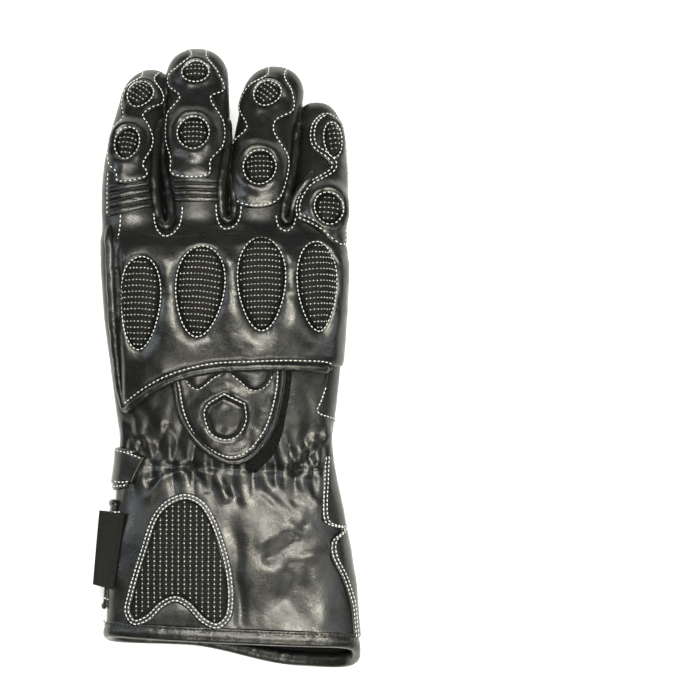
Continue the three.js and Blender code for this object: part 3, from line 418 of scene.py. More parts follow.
class FingerChart:
    """Back or palm side of one finger or the thumb: flat points are (side, along) in millimetres."""

    def __init__(self, field, finger, middle, half, edge=8.0, tip=12.0):
        self.field = field
        self.finger = finger
        self.middle = middle
        self.up = 1.0 if half == "back" else -1.0
        self.edge = edge
        self.tip = tip
        self.width = (lambda along: finger["width"](along / finger["length"]) * FINGER_WIDTH / 2) \
            if "width" in finger else (lambda along: THUMB_WIDTHS(along / THUMB_LENGTH) * THUMB_WIDTH / 2)

    def unwrap(self, plan):
        """Flat points whose place on the finger lies straight over or under these plan points."""
        x, y = np.asarray(plan, float).T
        along, side = finger_frame(self.finger, x, y)
        half_width = np.maximum(self.width(along) - self.edge * 0.92, 1.0)
        over = np.maximum(np.abs(side) - half_width, 0)
        wrapped = self.edge * np.arcsin(np.clip(over / self.edge, 0, 0.97))
        end = self.finger["length"] - self.tip
        past = np.maximum(along - end, 0)
        forward = self.tip * np.arcsin(np.clip(past / self.tip, 0, 0.97))
        return np.stack([side + np.sign(side) * (wrapped - over), along + forward - past], axis=1)

    def place(self, flat):
        side, along = flat[:, 0], flat[:, 1]
        half_width = np.maximum(self.width(along) - self.edge * 0.92, 1.0)
        inner = np.clip(side, -half_width, half_width)
        angle = np.minimum(np.abs(side - inner) / self.edge, math.pi * 0.9)
        end = self.finger["length"] - self.tip
        over = np.clip((along - end) / self.tip, 0, math.pi * 0.6)
        x, y, turn = finger_plan(self.finger, np.minimum(along, end), inner)
        pivot = np.stack([x, y, self.middle(np.minimum(along, end))], axis=1)
        across = np.stack([np.cos(turn), -np.sin(turn), np.zeros_like(turn)], axis=1)
        forward = np.stack([np.sin(turn), np.cos(turn), np.zeros_like(turn)], axis=1)
        upward = np.zeros_like(across)
        upward[:, 2] = self.up
        rise = np.cos(angle) * np.cos(over)
        direction = (across * (np.sign(side) * np.sin(angle) * np.cos(over))[:, None]
                     + forward * np.sin(over)[:, None] + upward * rise[:, None])
        points = march(self.field, pivot, unit(direction), 26.0)
        return points, normals_at(self.field, points)


def on_finger_field(name):
    return soft_min(body_field, finger_fields[name], ROOT_BLEND)


charts = {
    "back": BodyChart(hand_field, "back"),
    "palm": BodyChart(hand_field, "palm"),
    "thumb": FingerChart(thumb_field, THUMB, thumb_middle, "palm", 7.0, 14.0),
}
for name, finger in FINGERS.items():
    middle = lambda along, f=finger: finger_middle(f, along)
    charts[name] = FingerChart(on_finger_field(name), finger, middle, "back")
    charts[name + " palm"] = FingerChart(on_finger_field(name), finger, middle, "palm")


# Outlines
def closed(line):
    """A closed line with its first point again at the end."""
    return np.vstack([line, line[:1]])


def closed_curve(points, spacing=0.9, sharp=()):
    """A smooth closed line through points, with corners kept at the numbers in sharp."""
    points = np.array(points, float)
    count = len(points)
    line = []
    for i in range(count):
        p0, p1, p2, p3 = [points[(i + k) % count] for k in (-1, 0, 1, 2)]
        if i in sharp:
            p0 = 2 * p1 - p2
        if (i + 1) % count in sharp:
            p3 = 2 * p2 - p1
        steps = max(2, int(np.linalg.norm(p2 - p1) / spacing))
        knots = [0.0]
        for a, b in ((p0, p1), (p1, p2), (p2, p3)):
            knots.append(knots[-1] + max(np.linalg.norm(b - a), 1e-6) ** 0.5)
        t0, t1, t2, t3 = knots
        for t in np.linspace(t1, t2, steps, endpoint=False):
            a1 = (t1 - t) / (t1 - t0) * p0 + (t - t0) / (t1 - t0) * p1
            a2 = (t2 - t) / (t2 - t1) * p1 + (t - t1) / (t2 - t1) * p2
            a3 = (t3 - t) / (t3 - t2) * p2 + (t - t2) / (t3 - t2) * p3
            b1 = (t2 - t) / (t2 - t0) * a1 + (t - t0) / (t2 - t0) * a2
            b2 = (t3 - t) / (t3 - t1) * a2 + (t - t1) / (t3 - t1) * a3
            line.append((t2 - t) / (t2 - t1) * b1 + (t - t1) / (t2 - t1) * b2)
    line = np.array(line)
    return line if signed_area(line) > 0 else line[::-1]


def open_curve(points, spacing=0.9):
    """A smooth open line through points."""
    points = [np.array(p, float) for p in points]
    ends = [2 * points[0] - points[1]] + points + [2 * points[-1] - points[-2]]
    line = []
    for p0, p1, p2, p3 in zip(ends, ends[1:], ends[2:], ends[3:]):
        steps = max(2, int(np.linalg.norm(p2 - p1) / spacing))
        for t in np.linspace(0, 1, steps, endpoint=False):
            line.append(0.5 * (2 * p1 + (p2 - p0) * t + (2 * p0 - 5 * p1 + 4 * p2 - p3) * t * t
                               + (3 * p1 - p0 - 3 * p2 + p3) * t ** 3))
    line.append(points[-1])
    return np.array(line)


def signed_area(line):
    x, y = line[:, 0], line[:, 1]
    return 0.5 * np.sum(x * np.roll(y, -1) - np.roll(x, -1) * y)


def egg(centre, width, length, tilt=0.0, taper=0.0, count=64):
    angle = np.linspace(0, 2 * math.pi, count, endpoint=False)
    x = width / 2 * np.cos(angle) * (1 + taper * np.sin(angle))
    y = length / 2 * np.sin(angle)
    c, s = math.cos(math.radians(tilt)), math.sin(math.radians(tilt))
    return np.stack([centre[0] + x * c - y * s, centre[1] + x * s + y * c], axis=1)


def inset(line, distance):
    """A closed line moved inward by a distance, or outward by a negative one."""
    before, after = np.roll(line, 1, axis=0), np.roll(line, -1, axis=0)
    along = unit(after - before)
    normal = np.stack([-along[:, 1], along[:, 0]], axis=1)
    moved = line + normal * distance
    gap = distance_to(moved, line)
    return moved[gap > abs(distance) * 0.93]


def distance_to(points, line, closed=True):
    """Distance from each point to a line."""
    a = line
    b = np.roll(line, -1, axis=0)
    if not closed:
        a, b = line[:-1], line[1:]
    best = np.full(len(points), 1e9)
    for start in range(0, len(a), 64):
        p, q = a[start:start + 64], b[start:start + 64]
        along = q - p
        square = np.maximum((along ** 2).sum(axis=1), 1e-9)
        share = np.clip(((points[:, None] - p) * along).sum(axis=2) / square, 0, 1)
        d = np.linalg.norm(points[:, None] - (p + share[:, :, None] * along), axis=2)
        best = np.minimum(best, d.min(axis=1))
    return best


def inside(points, line):
    """Which points lie within a closed line."""
    x, y = points[:, 0], points[:, 1]
    result = np.zeros(len(points), bool)
    for (x1, y1), (x2, y2) in zip(line, np.roll(line, -1, axis=0)):
        if y1 != y2:
            crosses = (y1 > y) != (y2 > y)
            result ^= crosses & (x < (x2 - x1) * (y - y1) / (y2 - y1) + x1)
    return result


def beside(line, distance):
    """A line moved sideways."""
    along = unit(np.gradient(line, axis=0))
    return line + np.stack([-along[:, 1], along[:, 0]], axis=1) * distance


def fill_outline(line, windows, spacing, seams=()):
    """Triangles over an outline with windows: points and faces. Seam lines get points of their own."""
    rim = (0.35,) if len(seams) else (0.35, 0.9)
    window_rim = (0.35, 1.0, 1.7)
    loops = [line] + list(windows)
    points = list(loops)
    edges = []
    start = 0
    for loop in loops:
        n = len(loop)
        edges += [(start + i, start + (i + 1) % n) for i in range(n)]
        start += n
    for depth in rim:
        points.append(inset(line, depth))
    for depth in window_rim:
        for window in windows:
            around = inset(window, -depth)
            points.append(around[distance_to(around, line) > 0.3])
    low, high = line.min(axis=0), line.max(axis=0)
    rows = np.arange(low[1], high[1], spacing * 0.87)
    fill = [np.stack([np.arange(low[0] + (i % 2) * spacing / 2, high[0], spacing),
                      np.full(len(np.arange(low[0] + (i % 2) * spacing / 2, high[0], spacing)), y)], axis=1)
            for i, y in enumerate(rows)]
    fill = np.concatenate(fill)
    keep = inside(fill, line)
    fill = fill[keep]
    edge_gap = distance_to(fill, line) - rim[-1]
    for window in windows:
        outside = ~inside(fill, window)
        edge_gap = np.where(outside, np.minimum(edge_gap, distance_to(fill, window) - window_rim[-1]), 0)
    fill = fill[edge_gap > spacing * 0.45]
    for seam in seams:
        fill = fill[distance_to(fill, seam, closed=False) > 0.95]
    points.append(fill)
    for number, seam in enumerate(seams):
        for shift in (-0.65, 0.0, 0.65):
            row = beside(seam, shift)
            row = row[inside(row, line)]
            row = row[distance_to(row, line) > 0.3]
            for window in windows:
                row = row[~inside(row, window)]
                row = row[distance_to(row, window) > 0.3]
            for other in seams[:number]:
                row = row[distance_to(row, other, closed=False) > 0.8]
            points.append(row)
    flat = np.concatenate(points)
    result = geometry.delaunay_2d_cdt([Vector(p) for p in flat.tolist()], edges, [], 0, 1e-5)
    verts = np.array([tuple(v) for v in result[0]])
    faces = np.array([face for face in result[2] if len(face) == 3])
    centres = verts[faces].mean(axis=1)
    keep = inside(centres, line)
    for window in windows:
        keep &= ~inside(centres, window)
    return verts, faces[keep]


def make_object(name, points, faces, material, flat_map=None):
    """A mesh object from points in millimetres. It rides on the glove's one body."""
    mesh = bpy.data.meshes.new(name)
    points = np.array(points, float)
    points[:, 2] = np.maximum(points[:, 2], 0.02)
    mesh.from_pydata((ORIGIN + points * MM).tolist(), [], [list(map(int, f)) for f in faces])
    mesh.validate()
    mesh.polygons.foreach_set("use_smooth", [True] * len(mesh.polygons))
    if flat_map is not None:
        layer = mesh.uv_layers.new(name="flat")
        corner = np.empty(len(mesh.loops), int)
        mesh.loops.foreach_get("vertex_index", corner)
        layer.data.foreach_set("uv", np.asarray(flat_map)[corner].ravel())
    mesh.materials.append(material)
    obj = bpy.data.objects.new(name, mesh)
    bpy.context.scene.collection.objects.link(obj)
    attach(obj, "root")
    return obj


class Sewn:
    """A piece sewn onto the glove: a flat outline laid on a chart, with a height over every point."""

    def __init__(self, name, chart, outline, thickness, windows=(), lift=0.0, edge=1.0, shapes=(),
                 spacing=1.3, seams=(), fade=None):
        self.name = name
        self.seams = list(seams)
        self.fade = fade
        self.chart = charts[chart]
        self.outline = outline
        self.windows = list(windows)
        self.thickness = thickness
        self.lift = lift
        self.edge = edge
        self.shapes = list(shapes)
        self.spacing = spacing

    def rim(self, flat):
        gap = distance_to(flat, self.outline)
        for window in self.windows:
            gap = np.minimum(gap, distance_to(flat, window))
        return gap

    def height(self, flat, rim=None):
        rim = self.rim(flat) if rim is None else rim
        share = np.clip(rim / self.edge, 0, 1)
        rounded = np.sqrt(np.maximum(1 - (1 - share) ** 2, 0))
        total = self.lift + self.thickness * (0.25 + 0.75 * rounded)
        for shape in self.shapes:
            total = total + shape(flat, rim) * np.clip(rim / 1.2, 0, 1)
        return total if self.fade is None else total * self.fade(flat)

    def place(self, flat, extra=0.0):
        points, normals = self.chart.place(flat)
        return points + normals * (self.height(flat) + extra)[:, None], normals

    def build(self, look, *nodes):
        """The piece as an object, with its thickness, in place of nodes of the frame."""
        flat, faces = fill_outline(self.outline, self.windows, self.spacing, seams=self.seams)
        points, normals = self.chart.place(flat)
        top = points + normals * self.height(flat)[:, None]
        base = points + normals * (self.lift - 0.35)
        pairs = np.concatenate([faces[:, [0, 1]], faces[:, [1, 2]], faces[:, [2, 0]]])
        seen = {}
        for a, b in pairs.tolist():
            seen[(a, b)] = seen.get((a, b), 0) + 1
        border = [(a, b) for a, b in seen if (b, a) not in seen]
        used = sorted({v for pair in border for v in pair})
        lower = {v: len(flat) + i for i, v in enumerate(used)}
        skirt = [(b, a, lower[a], lower[b]) for a, b in border]
        points = np.concatenate([top, base[used]])
        uv = np.concatenate([flat, flat[used]]) * MM * 100
        turned = [list(f) for f in faces.tolist()] + [list(f) for f in skirt]
        obj = make_object(self.name, points, turned, materials[look], uv)
        fix_facing(obj, self.chart.field)
        if nodes:
            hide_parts(*nodes)
        return obj


def fix_facing(obj, field):
    """Turns the faces of a sewn piece outward."""
    mesh = obj.data
    facing = np.array([p.normal[:] for p in mesh.polygons])
    middle = np.array([p.center[:] for p in mesh.polygons])
    outward = normals_at(field, (middle - ORIGIN) / MM)
    if (facing * outward).sum() < 0:
        mesh.flip_normals()


# Stitches
STITCH_PITCH = 2.15
STITCH_LENGTH = 1.5
STITCH_WIDTH = 0.64
STITCH_HEIGHT = 0.52
STITCH_LIFT = 0.02


def unit_stitch():
    """A small capsule: rings of six points round a short thread."""
    rings = [(-0.5, 0.0), (-0.36, 0.85), (0.0, 1.0), (0.36, 0.85), (0.5, 0.0)]
    points, faces = [], []
    for along, wide in rings:
        if wide == 0.0:
            points.append((along, 0, -0.15))
        else:
            for k in range(6):
                angle = 2 * math.pi * k / 6
                across, up = 0.5 * wide * math.cos(angle), 0.5 * wide * math.sin(angle) - 0.3 * (1 - wide)
                points.append((along, across, up))
    faces += [(0, 1 + (k + 1) % 6, 1 + k) for k in range(6)]
    for r in range(2):
        for k in range(6):
            a, b = 1 + r * 6 + k, 1 + r * 6 + (k + 1) % 6
            faces.append((a, b, b + 6, a + 6))
    last = len(points) - 1
    faces += [(last, last - 6 + k, last - 6 + (k + 1) % 6) for k in range(6)]
    return np.array(points), faces


STITCH_POINTS, STITCH_FACES = unit_stitch()
STITCH_SHAPE = STITCH_POINTS * [STITCH_LENGTH, STITCH_WIDTH, STITCH_HEIGHT]
stitch_rows = []


def stitch(place, line, round_about, pitch=STITCH_PITCH, rows=stitch_rows):
    """Stitches along a flat line, laid by a function that puts flat points on the glove."""
    line = closed(line) if round_about else line
    lengths = lengths_along(line)
    count = max(2, int(round(lengths[-1] / pitch)))
    at = (np.arange(count) + 0.5) * lengths[-1] / count

    def placed(shift):
        return place(np.stack([np.interp(at + shift, lengths, line[:, i]) for i in (0, 1)], axis=1))

    here, normal = placed(0)
    along = placed(0.4)[0] - placed(-0.4)[0]
    keep = np.linalg.norm(along, axis=1) > 0.2
    here, normal, along = here[keep], normal[keep], unit(along[keep])
    across = unit(np.cross(normal, along))
    up = np.cross(along, across)
    turn = rng.normal(0, 0.07, len(along))[:, None]
    turned = along * np.cos(turn) + across * np.sin(turn)
    across = across * np.cos(turn) - along * np.sin(turn)
    rows.append((here + normal * STITCH_LIFT, turned, across, up))


def build_copies(name, rows, shape, unit_faces, slot, material):
    """Copies of a small shape, one for each place and three axes in the rows, as one piece."""
    here, *axes = [np.concatenate(part) for part in zip(*rows)]
    points = here[:, None]
    for i, axis in enumerate(axes):
        points = points + axis[:, None] * shape[:, i, None]
    faces = [[v + i * len(shape) for v in face] for i in range(len(here)) for face in unit_faces]
    return make_object(name, points.reshape(-1, 3), faces, material)


rng = np.random.default_rng(7)


# Materials
class Shader:
    """A small helper for building a procedural material."""

    def __init__(self, name, colour, roughness, **settings):
        self.material = bpy.data.materials.new(name)
        self.material.use_nodes = True
        self.tree = self.material.node_tree
        self.bsdf = next(n for n in self.tree.nodes if n.type == "BSDF_PRINCIPLED")
        self.bsdf.inputs["Base Color"].default_value = (*colour, 1)
        self.bsdf.inputs["Roughness"].default_value = roughness
        for socket, value in settings.items():
            self.bsdf.inputs[socket.replace("_", " ")].default_value = value
        self.place = self.add("ShaderNodeTexCoord").outputs["Object"]
        self.height = None

    def add(self, kind, **settings):
        node = self.tree.nodes.new(kind)
        for key, value in settings.items():
            if key in node.inputs:
                node.inputs[key].default_value = value
            else:
                setattr(node, key, value)
        return node

    def link(self, output, socket):
        self.tree.links.new(output, socket)

    def noise(self, size, detail=2.0, rough=0.5):
        """Noise with features of a size in millimetres."""
        node = self.add("ShaderNodeTexNoise", Scale=1 / (size * MM), Detail=detail, Roughness=rough)
        self.link(self.place, node.inputs["Vector"])
        return node.outputs["Fac"]

    def cells(self, size, feature="DISTANCE_TO_EDGE"):
        node = self.add("ShaderNodeTexVoronoi", feature=feature, Scale=1 / (size * MM))
        self.link(self.place, node.inputs["Vector"])
        return node.outputs["Distance"]

    def creases(self, size):
        """Hairline creases: the edges of stretched cells, bent by noise."""
        bend = self.add("ShaderNodeTexNoise", Scale=1 / (size * 0.9 * MM), Detail=2.0)
        self.link(self.place, bend.inputs["Vector"])
        shift = self.add("ShaderNodeVectorMath", operation="MULTIPLY_ADD")
        self.link(bend.outputs["Color"], shift.inputs[0])
        shift.inputs[1].default_value = (0.006, 0.006, 0.006)
        self.link(self.place, shift.inputs[2])
        node = self.add("ShaderNodeTexVoronoi", feature="DISTANCE_TO_EDGE", Scale=1 / (size * MM))
        self.link(shift.outputs[0], node.inputs["Vector"])
        return self.ramp(node.outputs["Distance"], 0, 1, 0.0, 0.10)

    def ramp(self, value, low, high, start=0.0, end=1.0):
        ends = {"From Min": start, "From Max": end, "To Min": low, "To Max": high}
        node = self.add("ShaderNodeMapRange", **ends)
        self.link(value, node.inputs["Value"])
        return node.outputs["Result"]

    def math(self, operation, a, b):
        node = self.add("ShaderNodeMath", operation=operation)
        for value, socket in ((a, node.inputs[0]), (b, node.inputs[1])):
            if isinstance(value, (int, float)):
                socket.default_value = value
            else:
                self.link(value, socket)
        return node.outputs[0]

    def colour_between(self, value, one, two):
        node = self.add("ShaderNodeMix", data_type="RGBA")
        for socket in node.inputs:
            if socket.type == "RGBA":
                socket.default_value = (*one, 1) if socket.name == "A" else (*two, 1)
        self.link(value, node.inputs[0])
        result = next(o for o in node.outputs if o.type == "RGBA")
        self.link(result, self.bsdf.inputs["Base Color"])

    def bump(self, value, strength, depth):
        node = self.add("ShaderNodeBump", Strength=strength, Distance=depth * MM)
        self.link(value, node.inputs["Height"])
        if self.height is not None:
            self.link(self.height, node.inputs["Normal"])
        self.height = node.outputs["Normal"]
        self.link(self.height, self.bsdf.inputs["Normal"])

    def roughness(self, value):
        self.link(value, self.bsdf.inputs["Roughness"])


def leather_material(name, dark, light, low, high, grain=0.9, crease=1.0):
    """Semi-gloss leather: pebbled grain, hairline creases, and colour and gloss that vary a little."""
    shader = Shader(name, dark, low, Specular_IOR_Level=0.62)
    patches = shader.noise(24, 3)
    shader.colour_between(shader.ramp(patches, 0, 1, 0.35, 0.7), dark, light)
    gloss = shader.noise(8, 4)
    pores = shader.cells(grain)
    dull = shader.math("ADD", shader.ramp(gloss, low, high, 0.3, 0.7),
                       shader.ramp(pores, 0.12, 0.0, 0.0, 0.25))
    shader.roughness(dull)
    shader.bump(shader.noise(6.5, 4), 0.34 * crease, 1.1)
    shader.bump(shader.noise(2.4, 3, rough=0.6), 0.30 * crease, 0.35)
    shader.bump(shader.creases(9.0), 0.14 * crease, 0.18)
    shader.bump(pores, 0.34, 0.10)
    return shader.material


LEATHER_DARK = (0.0035, 0.0042, 0.0048)
LEATHER_LIGHT = (0.0085, 0.0082, 0.0065)
materials = {
    "leather": leather_material("leather", LEATHER_DARK, LEATHER_LIGHT, 0.23, 0.35, 0.9, 0.55),
    "pad": leather_material("leather_pad", LEATHER_DARK, LEATHER_LIGHT, 0.21, 0.33, 0.8, 0.6),
    "binding": leather_material("binding_leather", (0.003, 0.0035, 0.004), (0.008, 0.008, 0.0065), 0.22, 0.34,
                                0.6, 1.3),
}


def fabric_material(name, dark, light, thread, rough, depth):
    """Woven or napped cloth with threads of a size in millimetres."""
    shader = Shader(name, dark, rough, Specular_IOR_Level=0.14)
    weave = shader.cells(thread, "F1")
    shader.colour_between(shader.ramp(weave, 1, 0, 0.1, 0.6), dark, light)
    shader.bump(weave, 0.7, -depth)
    shader.bump(shader.noise(thread * 0.6, 3), 0.35, depth)
    return shader.material


for look, *settings in (
        ("grip", "grip_fabric", (0.003, 0.003, 0.003), (0.016, 0.016, 0.014), 0.95, 0.6, 0.3),
        ("suede", "suede", (0.007, 0.007, 0.007), (0.017, 0.017, 0.016), 0.35, 0.88, 0.08),
        ("loop", "loop_pile", (0.002, 0.002, 0.002), (0.020, 0.020, 0.019), 0.55, 0.9, 0.5),
        ("lining", "lining", (0.008, 0.008, 0.009), (0.020, 0.020, 0.021), 0.7, 0.9, 0.15),
        ("tag", "tag_weave", (0.006, 0.006, 0.005), (0.020, 0.020, 0.017), 0.40, 0.7, 0.08)):
    materials[look] = fabric_material(*settings)

thread = Shader("thread", (0.66, 0.69, 0.67), 0.62)
thread.colour_between(thread.ramp(thread.noise(3.0, 2), 0, 1, 0.3, 0.7), (0.52, 0.56, 0.54),
                      (0.82, 0.86, 0.84))
thread.bump(thread.noise(0.25, 1), 0.3, 0.05)
materials["thread"] = thread.material
dark_thread = Shader("dark_thread", (0.02, 0.02, 0.02), 0.5)
dark_thread.bump(dark_thread.noise(0.25, 1), 0.3, 0.05)
materials["dark thread"] = dark_thread.material
dot = Shader("grip_dot", (0.42, 0.42, 0.38), 0.5)
dot.colour_between(dot.ramp(dot.noise(4.0, 2), 0, 1, 0.3, 0.7), (0.28, 0.29, 0.28), (0.70, 0.71, 0.68))
materials["dot"] = dot.material
materials["yarn"] = fabric_material("grip_yarn", (0.06, 0.06, 0.052), (0.17, 0.165, 0.145), 0.4, 0.6, 0.05)


# Leather shell: the whole glove's outside as one skin, in place of the seven plain shells
LATTICE = 32


def soft_noise(points, size, seed):
    """Smooth random values between -1 and 1, with features of a size in millimetres."""
    lattice = np.random.default_rng(seed).uniform(-1, 1, (LATTICE, LATTICE, LATTICE))
    q = points / size + 2.0 * LATTICE
    base = np.floor(q).astype(int)
    f = q - base
    f = f * f * (3 - 2 * f)
    total = np.zeros(len(points))
    for dx, dy, dz, weight in corner_weights(f):
        x, y, z = ((base + (dx, dy, dz)) % LATTICE).T
        total += weight * lattice[x, y, z]
    return total


PHOTO_STEP = 0.48
PHOTO_MIDDLE = 223.5
PHOTO_WRIST = 452


def spot(across, down):
    """A place on the back, from the wrist line, by steps counted on a picture of it."""
    return ((across - PHOTO_MIDDLE) * PHOTO_STEP, (PHOTO_WRIST - down) * PHOTO_STEP)


def spots(*pairs):
    return np.array([spot(a, b) for a, b in pairs])


# Folds of the leather on the back: points, half width and height (negative for a crease), in millimetres.
FOLDS = [
    (spots((225, 488), (233, 520), (238, 560), (242, 618)), 2.4, -1.1),
    (spots((236, 500), (242, 534), (247, 572)), 4.0, 0.7),
    (spots((262, 488), (285, 505), (306, 522)), 1.6, -0.8),
    (spots((268, 557), (284, 548), (300, 536)), 1.6, -0.7),
    (spots((272, 570), (292, 556), (312, 552)), 2.4, 0.8),
    (spots((262, 540), (282, 528), (302, 516)), 2.2, 0.7),
    (spots((149, 431), (158, 447), (166, 462)), 1.8, -1.3),
    (spots((140, 428), (150, 446), (158, 464)), 2.0, 1.1),
    (spots((160, 420), (170, 442), (176, 462)), 2.2, 1.2),
    (spots((128, 424), (140, 440), (150, 456)), 2.0, -1.0),
    (spots((168, 428), (178, 446), (188, 464)), 1.6, -1.1),
    (spots((150, 478), (162, 474), (176, 470)), 1.8, -1.0),
    (spots((150, 492), (166, 478), (182, 471)), 2.0, 1.1),
    (spots((190, 470), (198, 478), (206, 490)), 1.6, -1.2),
    (spots((208, 470), (218, 482), (226, 498)), 1.8, 1.2),
    (spots((222, 472), (232, 488), (238, 506)), 1.5, -1.2),
    (spots((286, 464), (300, 452), (312, 440)), 2.2, 1.2),
    (spots((296, 470), (308, 458), (320, 448)), 1.6, -1.2),
    (spots((310, 470), (318, 456), (326, 438)), 2.0, 1.4),
    (spots((272, 474), (284, 490), (298, 500)), 1.8, -0.9),
    (spots((296, 474), (306, 486), (318, 504)), 2.0, 0.9),
    (spots((292, 400), (298, 420), (294, 440)), 3.0, 0.9),
    (spots((306, 396), (310, 418), (304, 440)), 3.0, -0.8),
    (spots((136, 480), (124, 520), (118, 580)), 5.0, 1.0),
    (spots((152, 612), (180, 608), (206, 616)), 3.5, 0.8),
    (spots((255, 600), (285, 590), (320, 600)), 6.0, -0.6),
    (spots((150, 402), (160, 412), (170, 426)), 2.6, 0.9),
    (spots((136, 412), (146, 424), (152, 438)), 2.2, 0.9),
    (spots((272, 548), (288, 578), (294, 610)), 8.0, -1.5),
    (spots((282, 486), (290, 506), (296, 520)), 6.0, 1.2),
    (spots((258, 520), (262, 548), (262, 580)), 5.0, 1.0),
    (spots((312, 560), (318, 590), (326, 616)), 6.0, 0.9),
]
ELASTIC_LINE = -7.2


def relief(points, normals):
    """How far the leather stands out from its smooth shape."""
    x, y, z = points.T
    flat_part = body_half_width(y) - BODY_EDGE * 0.92
    side = x - body_centre(y)
    turn = np.arctan2(np.maximum(np.abs(side) - flat_part, 0), np.abs(z - body_middle(x, y)) + 0.1)
    round_about = np.sign(side) * (np.minimum(np.abs(side), flat_part) + BODY_EDGE * turn)
    on_body = 1 - smooth_step(y, 92, 104)
    # Gathers where the elastic draws the wrist in
    wander = soft_noise(points * [1, 0.35, 1], 13.0, 3) * 3.0
    slope = 0.35 * np.sign(side) * np.minimum(np.abs(side) / 30.0, 1) * np.maximum(y - ELASTIC_LINE, 0)
    ridge = np.abs(np.cos((round_about + wander + slope) * math.pi / 9.4)) ** 0.9 - 0.55
    other = np.abs(np.cos((round_about * 1.07 - wander * 1.3) * math.pi / 4.6 + 1.0)) - 0.6
    reach = np.where(y > ELASTIC_LINE, 17.0, 12.0) * (1 + 0.35 * soft_noise(points * [1, 0.1, 1], 8.0, 4))
    envelope = np.exp(-((y - ELASTIC_LINE) / reach) ** 2)
    height = envelope * (2.0 * ridge + 0.25 * other)
    height -= 1.1 * np.exp(-((y - ELASTIC_LINE + 0.03 * x) / 1.7) ** 2)
    # Named folds on the back
    above = smooth_step(normals[:, 2], 0.1, 0.5) * on_body
    near = np.where((above > 0) & (y < 40))[0]
    bend = [1.8 * soft_noise(points[near], 12.0, seed) for seed in (11, 12)]
    plan = points[near, :2] + np.stack(bend, axis=1)
    strength = 0.8 + 0.5 * soft_noise(points[near], 10.0, 13)
    for line, width, rise in FOLDS:
        curve = open_curve(line, 2.0)
        gap = distance_to(plan, curve, closed=False)
        height[near] += above[near] * strength * rise * np.exp(-(gap / (1.2 * width)) ** 2)
    # Soft dents and wrinkles, calmer where pieces are sewn on the hand
    covered = smooth_step(y, 34, 46) * (0.9 - 0.3 * smooth_step(y, 98, 106))
    bare = 1 - covered * smooth_step(normals[:, 2], -0.2, 0.3)
    height += 0.95 * soft_noise(points, 24.0, 5) * on_body * bare
    height += 0.24 * soft_noise(points * [1, 0.6, 1], 7.5, 8) * bare
    height += 0.06 * soft_noise(points, 3.2, 9) * bare
    resting = smooth_step(z, 3.4, 6.0)
    return height * np.where(normals[:, 2] < -0.3, resting * 0.5, 1.0)


def mouth_line(x, z):
    """The edge of the mouth. Its palm side stands out, most on the outer side."""
    lower = np.clip((1 - (z - body_middle(x, -CUFF_LENGTH)) / body_half_height(-CUFF_LENGTH)) / 2, 0, 1)
    slant = CUFF_SLANT * (0.6 + 0.85 * smooth_step(x, -20.0, 35.0))
    return -CUFF_LENGTH - 0.045 * x - slant * smooth_step(lower, 0.1, 0.95)


def skin_mesh(field, stride, trim):
    """The surface of a field past the mouth's edge, on every so many grid points."""
    points, quads = surface_net(field[::stride, ::stride, ::stride], STEP * stride)
    keep = points[:, 1] > mouth_line(points[:, 0], points[:, 2]) + trim
    quads = quads[keep[quads].all(axis=1)]
    used = np.unique(quads)
    number = np.full(len(points), -1)
    number[used] = np.arange(len(used))
    points, quads = points[used], number[quads]
    for _ in range(4):
        points = points - normals_at(field, points) * sample(field, points)[:, None] * 0.8
    return points, quads


axes = np.meshgrid(*grid_axes(), indexing="ij")
root_softness = np.interp(axes[1], [30, 62], [6.0, 0.7])
glove_field = soft_min(hand_field, thumb_field, root_softness)
del root_softness
shell_points, shell_quads = skin_mesh(glove_field, 1, 0.8)
shell_normals = normals_at(glove_field, shell_points)
shell_points = shell_points + shell_normals * relief(shell_points, shell_normals)[:, None]
shell = make_object("leather_shell", shell_points, shell_quads, materials["leather"])
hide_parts("hand_shell", "cuff_shell", "thumb_stall", "finger_index_stall", "finger_middle_stall",
            "finger_ring_stall", "finger_pinky_stall")
lining_points, lining_quads = skin_mesh(glove_field + LEATHER + 0.3, 2, 0.8)
make_object("lining", lining_points, lining_quads[:, ::-1], materials["lining"])


# Tubes, domes and rows that sit on the leather
def straight(plan, start, up, rounds, stride, far):
    """Where rays straight up or down through plan points, from a starting height, meet the hand."""
    pivot = np.column_stack([plan, np.full(len(plan), start)])
    ahead = np.tile([0.0, 0.0, up], (len(plan), 1))
    reach = np.zeros(len(plan))
    for _ in range(rounds):
        d = sample(hand_field, pivot + ahead * reach[:, None])
        reach = np.minimum(reach + np.clip(d, -1, stride) * 0.7, far)
    points = pivot + ahead * reach[:, None]
    return points, normals_at(hand_field, points)


def drop(plan):
    """The top of the hand straight under plan points."""
    return straight(plan, 56.0, -1.0, 70, 6, 54.0)


def smoothed(values, rounds=3):
    for _ in range(rounds):
        middle = (values[:-2] + 2 * values[1:-1] + values[2:]) / 4
        values = np.concatenate([values[:1], middle, values[-1:]])
    return values


def ring_faces(count, sides, closed=False):
    """Quads between a number of rings of points, each with its next."""
    faces = []
    for i in range(count if closed else count - 1):
        j = (i + 1) % count
        for k in range(sides):
            m = (k + 1) % sides
            faces.append((i * sides + k, i * sides + m, j * sides + m, j * sides + k))
    return faces


